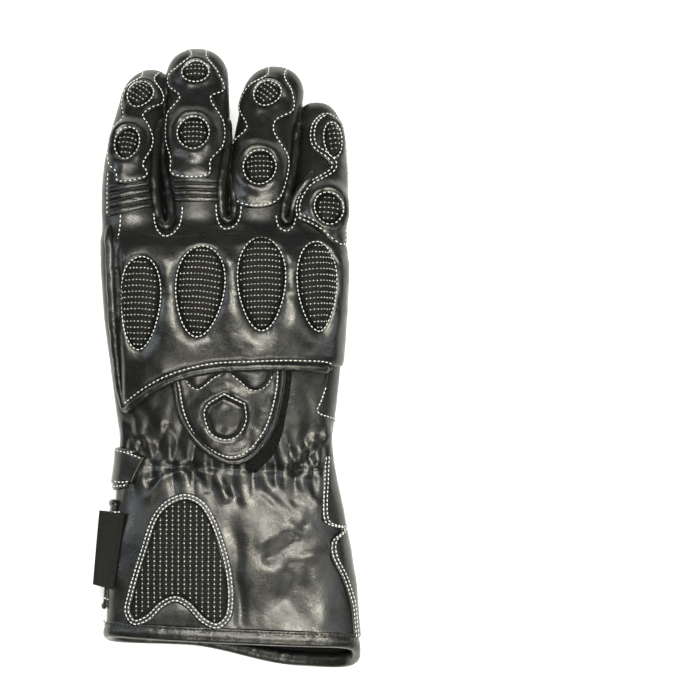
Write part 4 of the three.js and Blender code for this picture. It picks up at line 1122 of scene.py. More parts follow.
def tube(name, centres, normals, wide, high, nodes=(), sides=10, closed=False, crumple=0.0, ends=3.0):
    """A round or flattened roll of binding leather along a line of points."""
    ahead = np.roll(centres, -1, axis=0) - np.roll(centres, 1, axis=0)
    if not closed:
        ahead[0], ahead[-1] = centres[1] - centres[0], centres[-1] - centres[-2]
    ahead = unit(ahead)
    across = unit(np.cross(ahead, normals))
    up = np.cross(across, ahead)
    lengths = lengths_along(centres)
    scale = np.ones(len(centres))
    if not closed:
        near = np.minimum(lengths, lengths[-1] - lengths)
        scale = np.sqrt(np.clip(near / ends, 0.02, 1) * (2 - np.clip(near / ends, 0.02, 1)))
    angle = 2 * math.pi * np.arange(sides) / sides
    ring = (across[:, None] * np.cos(angle)[:, None] * np.broadcast_to(wide, len(centres))[:, None, None]
            + up[:, None] * np.sin(angle)[:, None] * np.broadcast_to(high, len(centres))[:, None, None])
    points = (centres[:, None] + ring * scale[:, None, None]).reshape(-1, 3)
    if crumple:
        dents = crumple * soft_noise(points, 2.6, 21) + crumple * soft_noise(points, 6.0, 22)
        points = points + unit(ring.reshape(-1, 3)) * dents[:, None]
    count = len(centres)
    faces = ring_faces(count, sides, closed)
    if not closed:
        faces.append(tuple(range(sides))[::-1])
        faces.append(tuple((count - 1) * sides + k for k in range(sides)))
    obj = make_object(name, points, faces, materials["binding"])
    mesh = obj.data
    first = mesh.polygons[sides // 4]
    middle = (np.array(first.center[:]) - ORIGIN) / MM
    if np.dot(middle - centres[0], np.array(first.normal[:])) < 0:
        mesh.flip_normals()
    if nodes:
        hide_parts(*nodes)
    return obj


def roll(name, points, normals, rounds, lift, wide, high, *nodes, **settings):
    """A tube along a line of points on the leather, smoothed and lifted."""
    normals = smoothed(normals, rounds)
    tube(name, smoothed(points, rounds) + normals * lift, normals, wide, high, nodes, **settings)


dot_rows = []
yarn_rows = []


def dots(piece, edge, pitch, row_pitch, tilt=0.0, size=1.0, margin=1.0, arch=0.0):
    """Rows of raised grip dots on a sewn piece, inside a closed line."""
    low, high = edge.min(axis=0), edge.max(axis=0)
    middle = (low + high) / 2
    reach = np.linalg.norm(high - low) / 2
    columns = np.arange(-math.ceil(reach / pitch), math.ceil(reach / pitch) + 1) * pitch
    rows = np.arange(-math.ceil(reach / row_pitch), math.ceil(reach / row_pitch) + 1) * row_pitch
    u, v = np.meshgrid(columns, rows)
    u, v = u.ravel(), v.ravel()
    u = u + rng.normal(0, 0.05, len(u))
    v = v - arch * (u * 2 / (high - low).min()) ** 2 + rng.normal(0, 0.05, len(v))
    c, s = math.cos(math.radians(tilt)), math.sin(math.radians(tilt))
    flat = np.stack([middle[0] + u * c - v * s, middle[1] + u * s + v * c], axis=1)
    keep = inside(flat, edge)
    flat = flat[keep]
    flat = flat[distance_to(flat, edge) > margin]
    points, normals = piece.place(flat)
    helper = np.where(np.abs(normals[:, :1]) < 0.8, [[1.0, 0, 0]], [[0, 1.0, 0]])
    across = unit(np.cross(normals, helper))
    dot_rows.append((points, across * size, np.cross(normals, across) * size, normals * size))
    half = flat + np.array([c, s]) * pitch / 2
    half = half[inside(half, edge)]
    half = half[distance_to(half, edge) > margin * 0.8]
    before, _ = piece.place(half - np.array([c, s]) * 0.3)
    here, normal = piece.place(half)
    along = unit(here - before)
    across = unit(np.cross(normal, along))
    yarn_rows.append((here - normal * 0.02, along * pitch * 0.66, across, np.cross(along, across)))


def unit_dot():
    """A low round dot: two rings of six points and a top."""
    shape = []
    for radius, height in ((0.43, -0.1), (0.36, 0.22)):
        for k in range(6):
            shape.append((radius * math.cos(math.pi * k / 3), radius * math.sin(math.pi * k / 3), height))
    shape.append((0.0, 0.0, 0.34))
    wall = [(k, (k + 1) % 6, 6 + (k + 1) % 6, 6 + k) for k in range(6)]
    top = [(6 + k, 6 + (k + 1) % 6, 12) for k in range(6)]
    return np.array(shape), wall + top


def dome(edge_line, rise, reach):
    """A shape that swells away from a closed line towards its middle."""
    def shape(flat, rim):
        gap = distance_to(flat, edge_line) * np.where(inside(flat, edge_line), 1, 0)
        t = np.clip(gap / reach, 0, 1)
        return rise * np.sqrt(np.maximum(1 - (1 - t) ** 2, 0))
    return shape


def dip(edge_line, depth, reach, end):
    """Padded leather that goes down into a closed line of stitches, less so near its thin end."""
    def shape(flat, rim):
        padded = smooth_step(end - flat[:, 1], 1.0, 18.0)
        return -depth * padded * np.exp(-(distance_to(flat, edge_line) / reach) ** 1.6)
    return shape


def swell(edge_line, rise, reach):
    """A padded ring round a closed line."""
    def shape(flat, rim):
        gap = distance_to(flat, edge_line)
        return rise * np.exp(-((gap - reach * 0.5) / reach) ** 2)
    return shape


def groove(line, depth, width, closed=True):
    """A narrow dent along a line, where a row of stitches pulls the leather down."""
    def shape(flat, rim):
        return -depth * np.exp(-(distance_to(flat, line, closed) / width) ** 2)
    return shape


def crumple(ring, rise, count, reach, seed):
    """Small folds that run out from a closed line, as where stitches gather padded leather."""
    centre = ring.mean(axis=0)

    def shape(flat, rim):
        turn = np.arctan2(*(flat - centre).T[::-1])
        gap = distance_to(flat, ring)
        around = np.column_stack([np.cos(turn) * count / 6, np.sin(turn) * count / 6, gap * 0.05])
        wave = soft_noise(around, 1.0, seed)
        return rise * wave * smooth_step(gap, 0.3, 1.4) * np.exp(-(gap / reach) ** 2)
    return shape


def wrinkles(rise, size, seed):
    def shape(flat, rim):
        return rise * soft_noise(np.column_stack([flat, np.zeros(len(flat))]), size, seed)
    return shape


# Fingers: stitch line of each pad, measured on the back, from the left of the tip round to the right
PAD_LINES = {
    "index": spots((141, 72), (129.2, 82.3), (120.5, 103), (123.3, 119), (115, 134), (112.3, 150),
                   (113.2, 166), (119.4, 174), (120.2, 181.6), (147.6, 179.2), (147.2, 173), (144.0, 168),
                   (150.0, 152), (151.9, 141), (147.5, 125), (142.4, 115), (151, 106), (160.5, 98.5),
                   (160.5, 84), (154, 72)),
    "middle": spots((190, 50.5), (176.3, 62.8), (167.4, 75), (169.2, 84), (180.0, 96.5), (168.4, 114.8),
                    (168.2, 140), (173.6, 160), (175.5, 175.6), (209.8, 175.8), (211, 163), (221.8, 146),
                    (222.4, 124), (209.9, 97.2), (222, 88.5), (216.5, 71.5), (205, 50.5)),
    "ring": spots((267.4, 70.5), (251.1, 83.9), (239.6, 101.8), (247.6, 128.6), (232.4, 148), (231.0, 172),
                  (241.4, 203), (275.2, 204), (285.6, 177), (286.5, 158), (273.3, 131.1), (275, 121),
                  (291.8, 107.5), (290.2, 85.5), (284.5, 70)),
    "pinky": spots((324, 108.5), (313.2, 121.3), (312.3, 144.5), (331.5, 167.2), (308, 186.4), (298.6, 207.1),
                   (299.4, 220.0), (309.0, 224.4), (322.0, 231.6)),
}
# Grip inserts: finger, node, middle, width and length in millimetres as seen from above, tilt, taper
INSERTS = [
    ("index", "index_tip", spot(139.2, 92.4), 11.0, 15.6, -30, 0.08),
    ("index", "index_mid", spot(128.8, 146.2), 10.6, 15.6, -8, 0.06),
    ("middle", "middle_tip", spot(194.6, 68.9), 12.4, 11.6, 0, -0.12),
    ("middle", "middle_mid", spot(194.2, 135.1), 14.2, 16.0, 0, 0.0),
    ("ring", "ring_tip", spot(267.0, 92.2), 11.6, 14.4, -38, 0.08),
    ("ring", "ring_mid", spot(260.5, 169.7), 14.4, 16.2, 0, 0.0),
    ("pinky", "pinky_tip", spot(331.8, 140.8), 7.9, 17.6, 5, 0.08),
    ("pinky", "pinky_base", spot(327.4, 209.5), 12.0, 14.6, 0, 0.05),
]
PAD_THICK = 1.5


def grip_insert(name, node, chart, ring, rise, tilt):
    """A dotted fabric insert that swells out of its window, with its dots."""
    outline = inset(ring, 0.45)
    piece = Sewn(name, chart, outline, 0.6, lift=0.5, edge=1.2, shapes=[dome(outline, rise, 4.5)],
                 spacing=1.2)
    piece.build("grip", node)
    dots(piece, outline, 1.75, 2.35, tilt, 0.8, 1.1, 0.5)


for name, finger in FINGERS.items():
    chart = charts[name]
    line = chart.unwrap(PAD_LINES[name])
    if name == "pinky":
        far = np.array([[13.5, -3.0], [15.0, 10.0], [15.5, 30.0], [14.5, 48.0], [8.0, 60.0]])
        line = np.concatenate([line, far])
    else:
        line = np.concatenate([[[-4.0, finger["length"] + 9.0]], line, [[4.0, finger["length"] + 9.0]]])
    line = closed_curve(line)
    outline = inset(line, -1.3)
    rings, windows, shapes = [], [], [groove(line, 0.4, 0.8), wrinkles(0.30, 6.0, 30),
                                      wrinkles(0.14, 2.8, 31)]
    tip = finger["length"]
    for row_finger, node, middle, width, length, tilt, taper in INSERTS:
        if row_finger == name:
            ring = chart.unwrap(egg(middle, width, length, tilt, taper))
            rings.append((node, ring, tilt))
            windows.append(inset(ring, 1.0))
            big = node.endswith(("mid", "base"))
            shapes.append(swell(ring, 2.0 if big else 0.6, 3.2 if big else 2.2))
            shapes.append(crumple(ring, 0.55 if big else 0.25, 14, 5.0, 34))
            shapes.append(groove(ring, 0.5, 0.7))
    pad = Sewn(f"finger_pad_{name}_leather", name, outline, PAD_THICK, windows, 0.0, 0.9, shapes, 1.2,
               [closed(line)], lambda flat, tip=tip: 1 - 0.85 * smooth_step(flat[:, 1], tip - 4.0, tip + 5.0))
    pad.build("pad", f"finger_pad_{name}")
    stitch(pad.place, line, True)
    if name == "pinky":
        second = closed_curve(np.concatenate([chart.unwrap(PAD_LINES[name]), far]))
        stitch(pad.place, inset(second, 1.7)[: int(len(second) * 0.46)], False)
    for node, ring, tilt in rings:
        stitch(pad.place, ring, True, 1.95)
        grip_insert(f"{node}_grip", f"finger_insert_{node}", name, ring, 1.9, tilt + finger["lean"])

# Stretch panels: ribbed leather under the index and middle pads
STRETCH = {
    "index": spots((112.0, 184.9), (149.8, 181.6), (154.0, 212.6), (113.5, 215.2)),
    "middle": spots((176.0, 178.2), (217.4, 178.6), (218.8, 203.8), (178.4, 204.6)),
}
RIB_COUNT = 4
RIB_GAP = 0.12
for name, corners in STRETCH.items():
    flat = charts[name].unwrap(corners)
    for rib in range(RIB_COUNT):
        upper, lower = (rib + RIB_GAP / 2) / RIB_COUNT, (rib + 1 - RIB_GAP / 2) / RIB_COUNT
        left = [flat[0] + (flat[3] - flat[0]) * share for share in (upper, lower)]
        right = [flat[1] + (flat[2] - flat[1]) * share for share in (upper, lower)]
        bulge = np.array([[0.7, 0.0], [-0.7, 0.0]])
        middle = [(left[0] + left[1]) / 2 - bulge[0], (right[0] + right[1]) / 2 - bulge[1]]
        outline = closed_curve([left[0], right[0], middle[1], right[1], left[1], middle[0]], 0.6,
                               sharp=(0, 1, 3, 4))
        bar = Sewn(f"stretch_{name}_rib_{rib}", name, outline, 1.25, (), 0.0, 0.95,
                   [wrinkles(0.28, 5.0, 33 + rib), wrinkles(0.12, 2.2, 37)], 0.6)
        bar.build("pad", *([f"stretch_panel_{name}"] if rib == 0 else []))


# Rolled seams between the fingers, with stitches round the foot of each valley
ROLLS = {
    "roll_index_side": [(160.5, 118), (157.2, 131), (155.6, 150), (155.2, 172), (156.5, 196), (159.6, 216),
                        (164.5, 228), (168.6, 232.5)],
    "roll_middle_left": [(164.2, 116), (165.0, 142), (164.6, 164), (169.4, 184), (173.0, 203), (174.6, 218),
                         (172.6, 228), (169.0, 232.8)],
    "roll_middle_right": [(226.5, 118), (226.4, 140), (225.0, 160), (221.4, 186), (222.0, 208), (224.4, 220),
                          (228.3, 225.2)],
    "roll_ring_left": [(232.6, 136), (231.6, 150), (231.6, 168), (233.2, 184), (236.0, 200), (236.4, 213),
                       (233.2, 221.5), (228.7, 225.4)],
    "roll_ring_right": [(296.0, 122), (294.0, 150), (291.6, 170), (288.0, 190), (284.2, 208), (283.0, 219),
                        (286.2, 225.0)],
    "roll_pinky_left": [(313.5, 172), (308.6, 182), (299.8, 192), (294.4, 206), (291.8, 218), (286.8, 225.4)],
}
for valley, (left, right) in {"index_middle": ("roll_index_side", "roll_middle_left"),
                              "middle_ring": ("roll_middle_right", "roll_ring_left"),
                              "ring_pinky": ("roll_ring_right", "roll_pinky_left")}.items():
    plan = open_curve(spots(*(ROLLS[left][:-1] + ROLLS[right][::-1])), 1.1)
    roll(f"valley_roll_{valley}", *drop(plan), 6, 1.1, 2.2, 1.6, crumple=0.34, ends=6.0)

VALLEY_STITCHES = [
    [(156.2, 214), (157.4, 224), (161, 232.6), (167.6, 238.0), (175.6, 235.6), (181.4, 228), (184.0, 217),
     (184.4, 208)],
    [(217.6, 205.5), (217.8, 214), (219.6, 222.5), (223.6, 229), (229, 230.6), (236.6, 227), (241.2, 218),
     (242.4, 207)],
    [(277.0, 216), (277.6, 223), (280.6, 229.4), (286.9, 232.4), (292.2, 229.4), (295.4, 223), (296.2, 214)],
]
back_chart = charts["back"]

# Hand: knuckle guard with four padded grip inserts, and its binding
GUARD_RISE = 3.4


def hand_line(*pairs):
    """Plan points from shares of the hand's width and length."""
    return np.array(pairs) * [HAND_WIDTH, HAND_LENGTH]


def cuff_line(*pairs):
    """Plan points from shares of the cuff's width and length."""
    return np.array(pairs) * [CUFF_WIDTH, CUFF_LENGTH]


def on_back(*pairs):
    """Flat points on the back, by steps counted on a picture of it."""
    return back_chart.unwrap(spots(*pairs))


GUARD_LOW = on_back((125, 408), (150.5, 389.5), (176.3, 376.2), (208.8, 367.6), (241.4, 365.0), (282, 364.0),
                    (319.4, 365.0), (333, 366.5))
GUARD_LOW = np.concatenate([GUARD_LOW, [[67.5, 40.5]]])
GUARD_TOP = hand_line((0.575, 0.93), (0.42, 1.0), (0.285, 1.005), (0.21, 1.01), (0.10, 1.005), (0.02, 1.0),
                      (-0.06, 1.0), (-0.16, 0.985), (-0.24, 0.985), (-0.43, 1.0), (-0.442, 0.75),
                      (-0.437, 0.5))
guard_outline = closed_curve(np.concatenate([GUARD_LOW, GUARD_TOP]), 0.9, sharp=(0, 8))
guard_edge = open_curve(GUARD_LOW)
KNUCKLES = [
    ("index", spot(144.6, 303.4), 19.0, 43.2, -2.5, 0.17),
    ("middle", spot(202.7, 292.2), 22.6, 42.4, -5.0, 0.17),
    ("ring", spot(262.7, 284.8), 22.2, 43.6, 0.0, 0.17),
    ("pinky", spot(317.4, 286.8), 19.2, 42.0, 1.5, 0.17),
]
knuckle_rings = [back_chart.unwrap(egg(*shape, 96)) for _, *shape in KNUCKLES]


def guard_pad(flat, rim):
    """Padding that fades out towards the fingers and swells between the knuckle inserts."""
    x, y = flat.T
    top = smooth_step(104.0 - y, 0.0, 16.0)
    side = smooth_step(x + 51.0, 0.0, 7.0) * (1 - 0.45 * smooth_step(x, 52.0, 64.0))
    low = smooth_step(distance_to(flat, guard_edge, closed=False), 0.0, 5.0)
    return (GUARD_RISE + 1.1) * top * side * (0.82 + 0.18 * low) - 0.6 * smooth_step(104.0 - y, 0.0, 10.0)


guard_shapes = [guard_pad, wrinkles(0.55, 15.0, 41), wrinkles(0.16, 4.5, 42)]
for ring in knuckle_rings:
    guard_shapes.append(dip(ring, 1.5, 3.4, 104.0))
    guard_shapes.append(crumple(ring, 0.45, 18, 7.0, 44))
    guard_shapes.append(groove(ring, 0.4, 0.75))
guard_stitch = open_curve(on_back((127.5, 401.3), (151.9, 382.6), (176.3, 370.4), (208.8, 362.3),
                                  (241.4, 359.9), (282, 359.0), (319.4, 359.9), (331.0, 362.3)))
guard_shapes.append(groove(guard_stitch, 0.4, 0.8, closed=False))
guard = Sewn("knuckle_guard_leather", "back", guard_outline, 0.9,
             [inset(ring, 1.0) for ring in knuckle_rings], 0.0, 1.2,
             guard_shapes, 1.2, [guard_stitch], lambda flat: 1 - 0.9 * smooth_step(flat[:, 1], 98.0, 103.0))
guard.build("pad", "knuckle_guard")
stitch(guard.place, guard_stitch, False)
for (name, middle, width, length, tilt, taper), ring in zip(KNUCKLES, knuckle_rings):
    stitch(guard.place, ring, True, 2.0)
    outline = inset(ring, 0.4)
    bulge = Sewn(f"knuckle_{name}_grip", "back", outline, 0.6, (), 1.6, 1.4, [dome(outline, 2.9, 8.0)], 1.2)
    bulge.build("grip", f"knuckle_insert_{name}")
    dots(bulge, outline, 1.62, 2.7, tilt, 0.82, 1.1, 1.1)

binding_flat = open_curve(GUARD_LOW[:-1] - [0, 1.3], 1.0)
points, normals = guard.place(binding_flat + [0, 2.6])
low_points, _ = back_chart.place(binding_flat)
points = np.column_stack([low_points[:, :2], points[:, 2]])
roll("guard_binding_roll", points, normals, 4, -0.75, 2.2, 1.9, "guard_binding", sides=12, crumple=0.22,
     ends=2.0)
roll("guard_under_roll", *back_chart.place(binding_flat + [0, 0.9]), 0, 1.4, 1.2, 2.0, sides=8, ends=2.0)

# Stitched outline of the valleys and the left edge of the hand
for pairs in VALLEY_STITCHES:
    line = open_curve(on_back(*pairs))
    stitch(guard.place, line, False, 2.05)
left_roll = open_curve(spots((112.5, 226), (113.4, 250), (114.8, 285), (116.8, 322), (119.6, 362),
                             (122.4, 388), (127.6, 412)), 1.2)
roll("edge_roll", *drop(left_roll), 6, 0.5, 2.2, 1.9, crumple=0.30, ends=5.0)
stitch(back_chart.place, open_curve(on_back((121.0, 216), (120.6, 229), (120.0, 243))), False)
index_side = charts["index"].unwrap(spots((110.4, 172), (110.0, 186), (110.2, 200), (110.6, 212)))
stitch(charts["index"].place, open_curve(index_side), False)

# Wrist tongue with its binding, pentagon pad and two lobes
TONGUE_SHIFT = [0.9, 0.9]
TONGUE = spots((172.5, 374), (174.9, 388), (178.0, 411), (188.2, 433), (204.6, 451.0), (228.9, 463.6),
               (248.5, 458.6), (266.6, 438.6), (277.6, 407), (282.4, 372), (281.0, 360), (228, 356),
               (180, 362))
tongue_line = back_chart.unwrap(TONGUE) + TONGUE_SHIFT
tongue_outline = closed_curve(tongue_line)
tongue_stitch = closed_curve(on_back(
    (178.6, 376), (180.2, 389), (184.2, 412.4), (194.2, 434.6), (211.0, 450.6), (230.2, 457.6),
    (245.4, 452.6), (261.0, 434.4), (271.2, 408.6), (276.4, 376), (275, 364), (228, 362),
    (184, 366)) + TONGUE_SHIFT)
pentagon = closed_curve(on_back(
    (223.6, 393.9), (244.0, 404.2), (245.0, 421.0), (236.7, 436.4), (223.8, 440.0), (210.8, 433.8),
    (204.2, 412.0), (208.4, 403.6)) + TONGUE_SHIFT, 0.8, sharp=(0, 1, 7))
lobe_left = closed_curve(on_back((186, 378), (191, 386.6), (197.6, 389.8), (206, 385), (213, 378.8),
                                 (222, 373.6), (222, 364), (186, 366)) + TONGUE_SHIFT)
lobe_right = closed_curve(on_back((231, 373.8), (240, 382), (248.6, 389.6), (256, 391), (264.6, 387),
                                  (271, 376), (272, 364), (234, 364)) + TONGUE_SHIFT)
tongue_shapes = [wrinkles(0.35, 7.0, 51), wrinkles(0.18, 3.2, 52), groove(tongue_stitch, 0.45, 0.9),
                 groove(pentagon, 0.5, 0.8), dome(inset(pentagon, 0.6), 3.0, 10.0), dome(lobe_left, 2.2, 7.0),
                 dome(lobe_right, 2.6, 8.0), swell(pentagon, 0.8, 3.4),
                 groove(lobe_left, 0.3, 0.8), groove(lobe_right, 0.3, 0.8)]
tongue = Sewn("wrist_tongue_leather", "back", tongue_outline, 1.5, (), 0.25, 1.2, tongue_shapes, 1.0,
              [closed(tongue_stitch), closed(pentagon), closed(lobe_left), closed(lobe_right)])
tongue.build("pad", "wrist_tongue", "tongue_pad")
stitch(tongue.place, tongue_stitch, True, 2.0)
stitch(tongue.place, pentagon, True, 2.1)
for lobe in (lobe_left, lobe_right):
    shown = lobe[lobe[:, 1] < spot(0, 373)[1]]
    stitch(tongue.place, shown[np.argsort(shown[:, 0])], False, 2.1)
roll("tongue_binding_roll", *back_chart.place(inset(tongue_outline, 0.5)), 2, 1.45, 1.65, 1.5,
     "tongue_binding", closed=True, crumple=0.14)

# Loop tape that the tongue's edge leaves bare on its right side
loop_outline = closed_curve(on_back(
    (281, 366), (291, 368), (290.4, 390), (286.4, 413), (281.6, 436), (271.4, 456.8), (252.6, 470.6),
    (246, 466), (262, 446), (272, 424), (278, 396)))
loop_piece = Sewn("loop_tape", "back", loop_outline, 0.9, (), 0.6, 0.6, [wrinkles(0.5, 1.3, 55)], 0.8)
loop_piece.build("loop", "loop_patch")

# Overlay on the outer side of the wrist, edged with a stitched step
overlay_line = on_back((327.4, 386), (322.8, 399), (319.0, 411.4), (333.0, 418.6))
overlay = closed_curve(np.concatenate([overlay_line + [-1.2, -0.6],
                                       [[62, 14.5], [66, 30], [64, 45], [55, 48]]]), 0.9,
                       sharp=(2,))
overlay_piece = Sewn("wrist_side_overlay", "back", overlay, 1.1, (), 0.1, 0.8, [wrinkles(0.25, 6.0, 57)], 1.2)
overlay_piece.build("leather")
stitch(overlay_piece.place, open_curve(overlay_line), False)

# Cuff: dotted panel inside a double row of stitches
CUFF_PANEL = spots((185.9, 493.6), (201.2, 498.7), (210.6, 509.4), (220.8, 531.4), (230.4, 564),
                   (233.6, 596.6), (230.2, 615.5), (218.5, 624.6), (204.2, 619.0), (187.9, 602.8),
                   (176.7, 597.9), (165.5, 602.6), (149.2, 617.6), (135.2, 621.6), (127.2, 610.6),
                   (130.8, 590.5), (143, 549.7), (155.3, 515), (167.5, 500.8))
panel_line = closed_curve(back_chart.unwrap(CUFF_PANEL))
panel_outline = inset(panel_line, -1.0)
panel_window = inset(panel_line, 2.5)
panel_rows = [panel_line, inset(panel_line, 1.65)]
frame_piece = Sewn("cuff_grip_frame", "back", panel_outline, 0.9, [panel_window], 0.1, 0.9,
                   [groove(row, 0.4, 0.8) for row in panel_rows], 0.7, [closed(row) for row in panel_rows])
frame_piece.build("binding")
for row in panel_rows:
    stitch(frame_piece.place, row, True, 2.0)
grip_outline = inset(panel_line, 2.1)
cuff_grip = Sewn("cuff_grip_fabric", "back", grip_outline, 0.5, (), 0.1, 0.8,
                 [dome(grip_outline, 0.9, 5.0), wrinkles(0.25, 12.0, 61)], 1.3)
cuff_grip.build("grip", "cuff_grip_panel")
dots(cuff_grip, grip_outline, 2.15, 2.85, 90.0, 0.95, 1.2)

# Side panel of the cuff, edged with a double row
SIDE_LINE = on_back((325.8, 456), (325.2, 480), (324.8, 519.4), (343.2, 529.2), (333.2, 540.0),
                    (333.4, 556.2), (345.2, 580.3), (353.0, 612), (354.8, 637))
side_edge = np.concatenate([SIDE_LINE + [-1.3, 0],
                            [[80.0, -90.0], [83.0, -60.0], [78.0, -30.0], [68.0, -2.0]]])
side_outline = closed_curve(side_edge, 0.9, sharp=(0, 2, 3, 4, 8, 9, 12))
side_stitch = open_curve(SIDE_LINE)
side = Sewn("cuff_side_panel", "back", side_outline, 1.1, (), 0.1, 0.9, [wrinkles(0.35, 9.0, 65)], 1.3,
            [side_stitch])
side.build("leather", "side_panel")
for shift in ([0.0, 0.0], [1.9, 0.2]):
    stitch(side.place, side_stitch + shift, False, 2.05)


# Hem: a folded band round the mouth of the cuff
def hem_ring():
    profile = [(7.2, 0.05), (7.0, 0.75), (6.2, 1.05), (5.4, 0.75), (4.8, 1.0), (3.2, 1.35), (1.4, 1.35),
               (0.2, 0.8), (-0.5, -0.5), (-0.3, -1.9), (0.6, -2.9), (3.0, -3.1), (6.4, -3.0), (6.6, -2.3)]
    count = 260
    angle = 2 * math.pi * np.arange(count) / count
    spread = np.linspace(0, 2 * math.pi, 4001)
    half_width, half_height = body_half_width(-CUFF_LENGTH), body_half_height(-CUFF_LENGTH)
    outline = np.stack([np.sign(np.cos(spread)) * np.abs(np.cos(spread)) ** 0.74 * half_width,
                        np.sign(np.sin(spread)) * np.abs(np.sin(spread)) ** 0.74 * half_height], axis=1)
    lengths = lengths_along(outline)
    at = angle / (2 * math.pi) * lengths[-1]
    target = np.stack([np.interp(at, lengths, outline[:, i]) for i in (0, 1)], axis=1)
    flat_half = half_width - half_height
    rows = []
    for reach, height in profile:
        x = body_centre(-CUFF_LENGTH) + target[:, 0]
        z = body_middle(x, -CUFF_LENGTH) + target[:, 1]
        y = mouth_line(x, z) + reach
        pivot_x = body_centre(y) + np.clip(target[:, 0], -flat_half, flat_half)
        pivot = np.stack([pivot_x, y, body_middle(pivot_x, y)], axis=1)
        direction = np.stack([body_centre(y) + target[:, 0] - pivot_x, np.zeros(count), target[:, 1]], axis=1)
        direction = unit(direction)
        points = march(body_field, pivot, direction, RAY_REACH)
        ripple = 0.35 * soft_noise(points, 9.0, 70) + 0.15 * soft_noise(points, 3.0, 71)
        rows.append(points + direction * (height + ripple * (height > 0.5))[:, None])
    points = np.concatenate(rows)
    return points, ring_faces(len(profile), count)


hem_points, hem_faces = hem_ring()
hem = make_object("cuff_hem_band", hem_points, hem_faces, materials["binding"])
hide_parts("cuff_hem")


def hem_place(flat):
    """The crease on the upper edge of the hem band."""
    points, normals = back_chart.place(flat)
    return points + normals * 1.0, normals


hem_top = open_curve(np.array([(x, mouth_line(x, 38.0) + 5.6) for x in np.linspace(-66, 74, 24)]), 1.0)
hem_rows = []
stitch(hem_place, hem_top, False, 2.0, hem_rows)
build_copies("hem_stitches", hem_rows, STITCH_SHAPE, STITCH_FACES, "leather", materials["dark thread"])


class UnderChart:
    """Straight up onto the palm, for pieces that run from hand to finger."""

    field = hand_field

    def place(self, flat):
        return straight(flat, -3.5, 1.0, 60, 5, 50.0)


charts["under"] = UnderChart()
palm_chart = charts["palm"]

# Palm: quilted heel pad
HEEL = hand_line((-0.131, 0.45), (-0.075, 0.435), (-0.008, 0.53), (0.173, 0.53), (0.27, 0.54), (0.44, 0.42),
                 (0.45, 0.25), (0.43, 0.13), (0.296, 0.10), (0.15, 0.115), (0.012, 0.139), (-0.10, 0.15),
                 (-0.2125, 0.155), (-0.24, 0.22), (-0.20, 0.33))
QUILT = [hand_line((-0.096, 0.46), (-0.20, 0.12)), hand_line((-0.075, 0.46), (0.02, 0.10)),
         hand_line((0.173, 0.56), (0.027, 0.10)), hand_line((0.187, 0.56), (0.283, 0.08)),
         hand_line((0.456, 0.44), (0.296, 0.08))]
heel_outline = closed_curve(HEEL)
heel_lines = [open_curve(line) for line in QUILT]
heel_rows = [inset(heel_outline, depth) for depth in (1.2, 3.2)]
heel_shapes = [dome(heel_outline, 1.0, 6.0), wrinkles(0.35, 7.0, 81), groove(heel_rows[0], 0.35, 0.7)]
heel_shapes += [groove(line, 1.3, 1.9, closed=False) for line in heel_lines]
heel = Sewn("heel_pad_leather", "palm", heel_outline, 1.4, (), 0.1, 1.0, heel_shapes, 1.2,
            [closed(row) for row in heel_rows])
heel.build("pad", "heel_pad")
for row in heel_rows:
    stitch(heel.place, row, True)
for line in heel_lines:
    within = line[inside(line, inset(heel_outline, 3.4))]
    stitch(heel.place, within, False)

# Palm: suede patches
WEB = hand_line((0.03, 0.86), (0.14, 0.80), (0.204, 0.718), (0.12, 0.65), (-0.07, 0.615), (-0.10, 0.72))
INDEX_PATCH = hand_line((-0.39, 1.21), (-0.435, 1.15), (-0.452, 0.98), (-0.445, 0.82), (-0.31, 0.82),
                        (-0.27, 0.93), (-0.29, 1.02), (-0.345, 1.15))
for name, node, chart, points in (("web_suede", "thumb_web_patch", "palm", WEB),
                                  ("index_suede", "palm_patch_index", "under", INDEX_PATCH)):
    outline = closed_curve(points)
    patch = Sewn(name, chart, outline, 0.9, (), 0.1, 0.7, [wrinkles(0.15, 6.0, 83)], 1.3)
    patch.build("suede", node)
    for depth in (1.2, 3.1):
        stitch(patch.place, inset(outline, depth), True)

# Side strip along the little finger and the outer edge of the palm
STRIP = hand_line((0.45, 0.45), (0.29, 0.575), (0.333, 0.68), (0.346, 0.82), (0.354, 0.93))
pinky = FINGERS["pinky"]


def on_finger(finger, along, side):
    x, y, _ = finger_plan(finger, np.array([along * finger["length"]]), np.array([side * FINGER_WIDTH]))
    return [float(x[0]), float(y[0])]


strip_finger = [on_finger(pinky, a, s) for a,
                s in ((0.08, 0.10), (0.34, -0.02), (0.62, 0.10), (0.86, -0.10), (0.94, 0.12))]
strip_outer = [on_finger(pinky, a, s) for a, s in ((0.90, 0.20), (0.6, 0.28), (0.3, 0.33), (0.05, 0.36))]
strip_parts = [[[53.0, 50.0]], STRIP, strip_finger, strip_outer, [[54.4, 92], [54.2, 70]]]
strip_plan = closed_curve(np.concatenate(strip_parts), 0.9, sharp=(0, 10, 11))
strip = Sewn("pinky_side_leather", "under", strip_plan, 1.1, (), 0.1, 0.9, [wrinkles(0.2, 8.0, 85)], 1.4)
strip.build("leather", "pinky_side_strip")
strip_stitch = open_curve(np.concatenate([STRIP + [1.2, 0], np.array(strip_finger) + [1.2, 0]]))
for shift in ([0.0, 0.0], [1.9, 0.3]):
    stitch(strip.place, strip_stitch + shift, False)

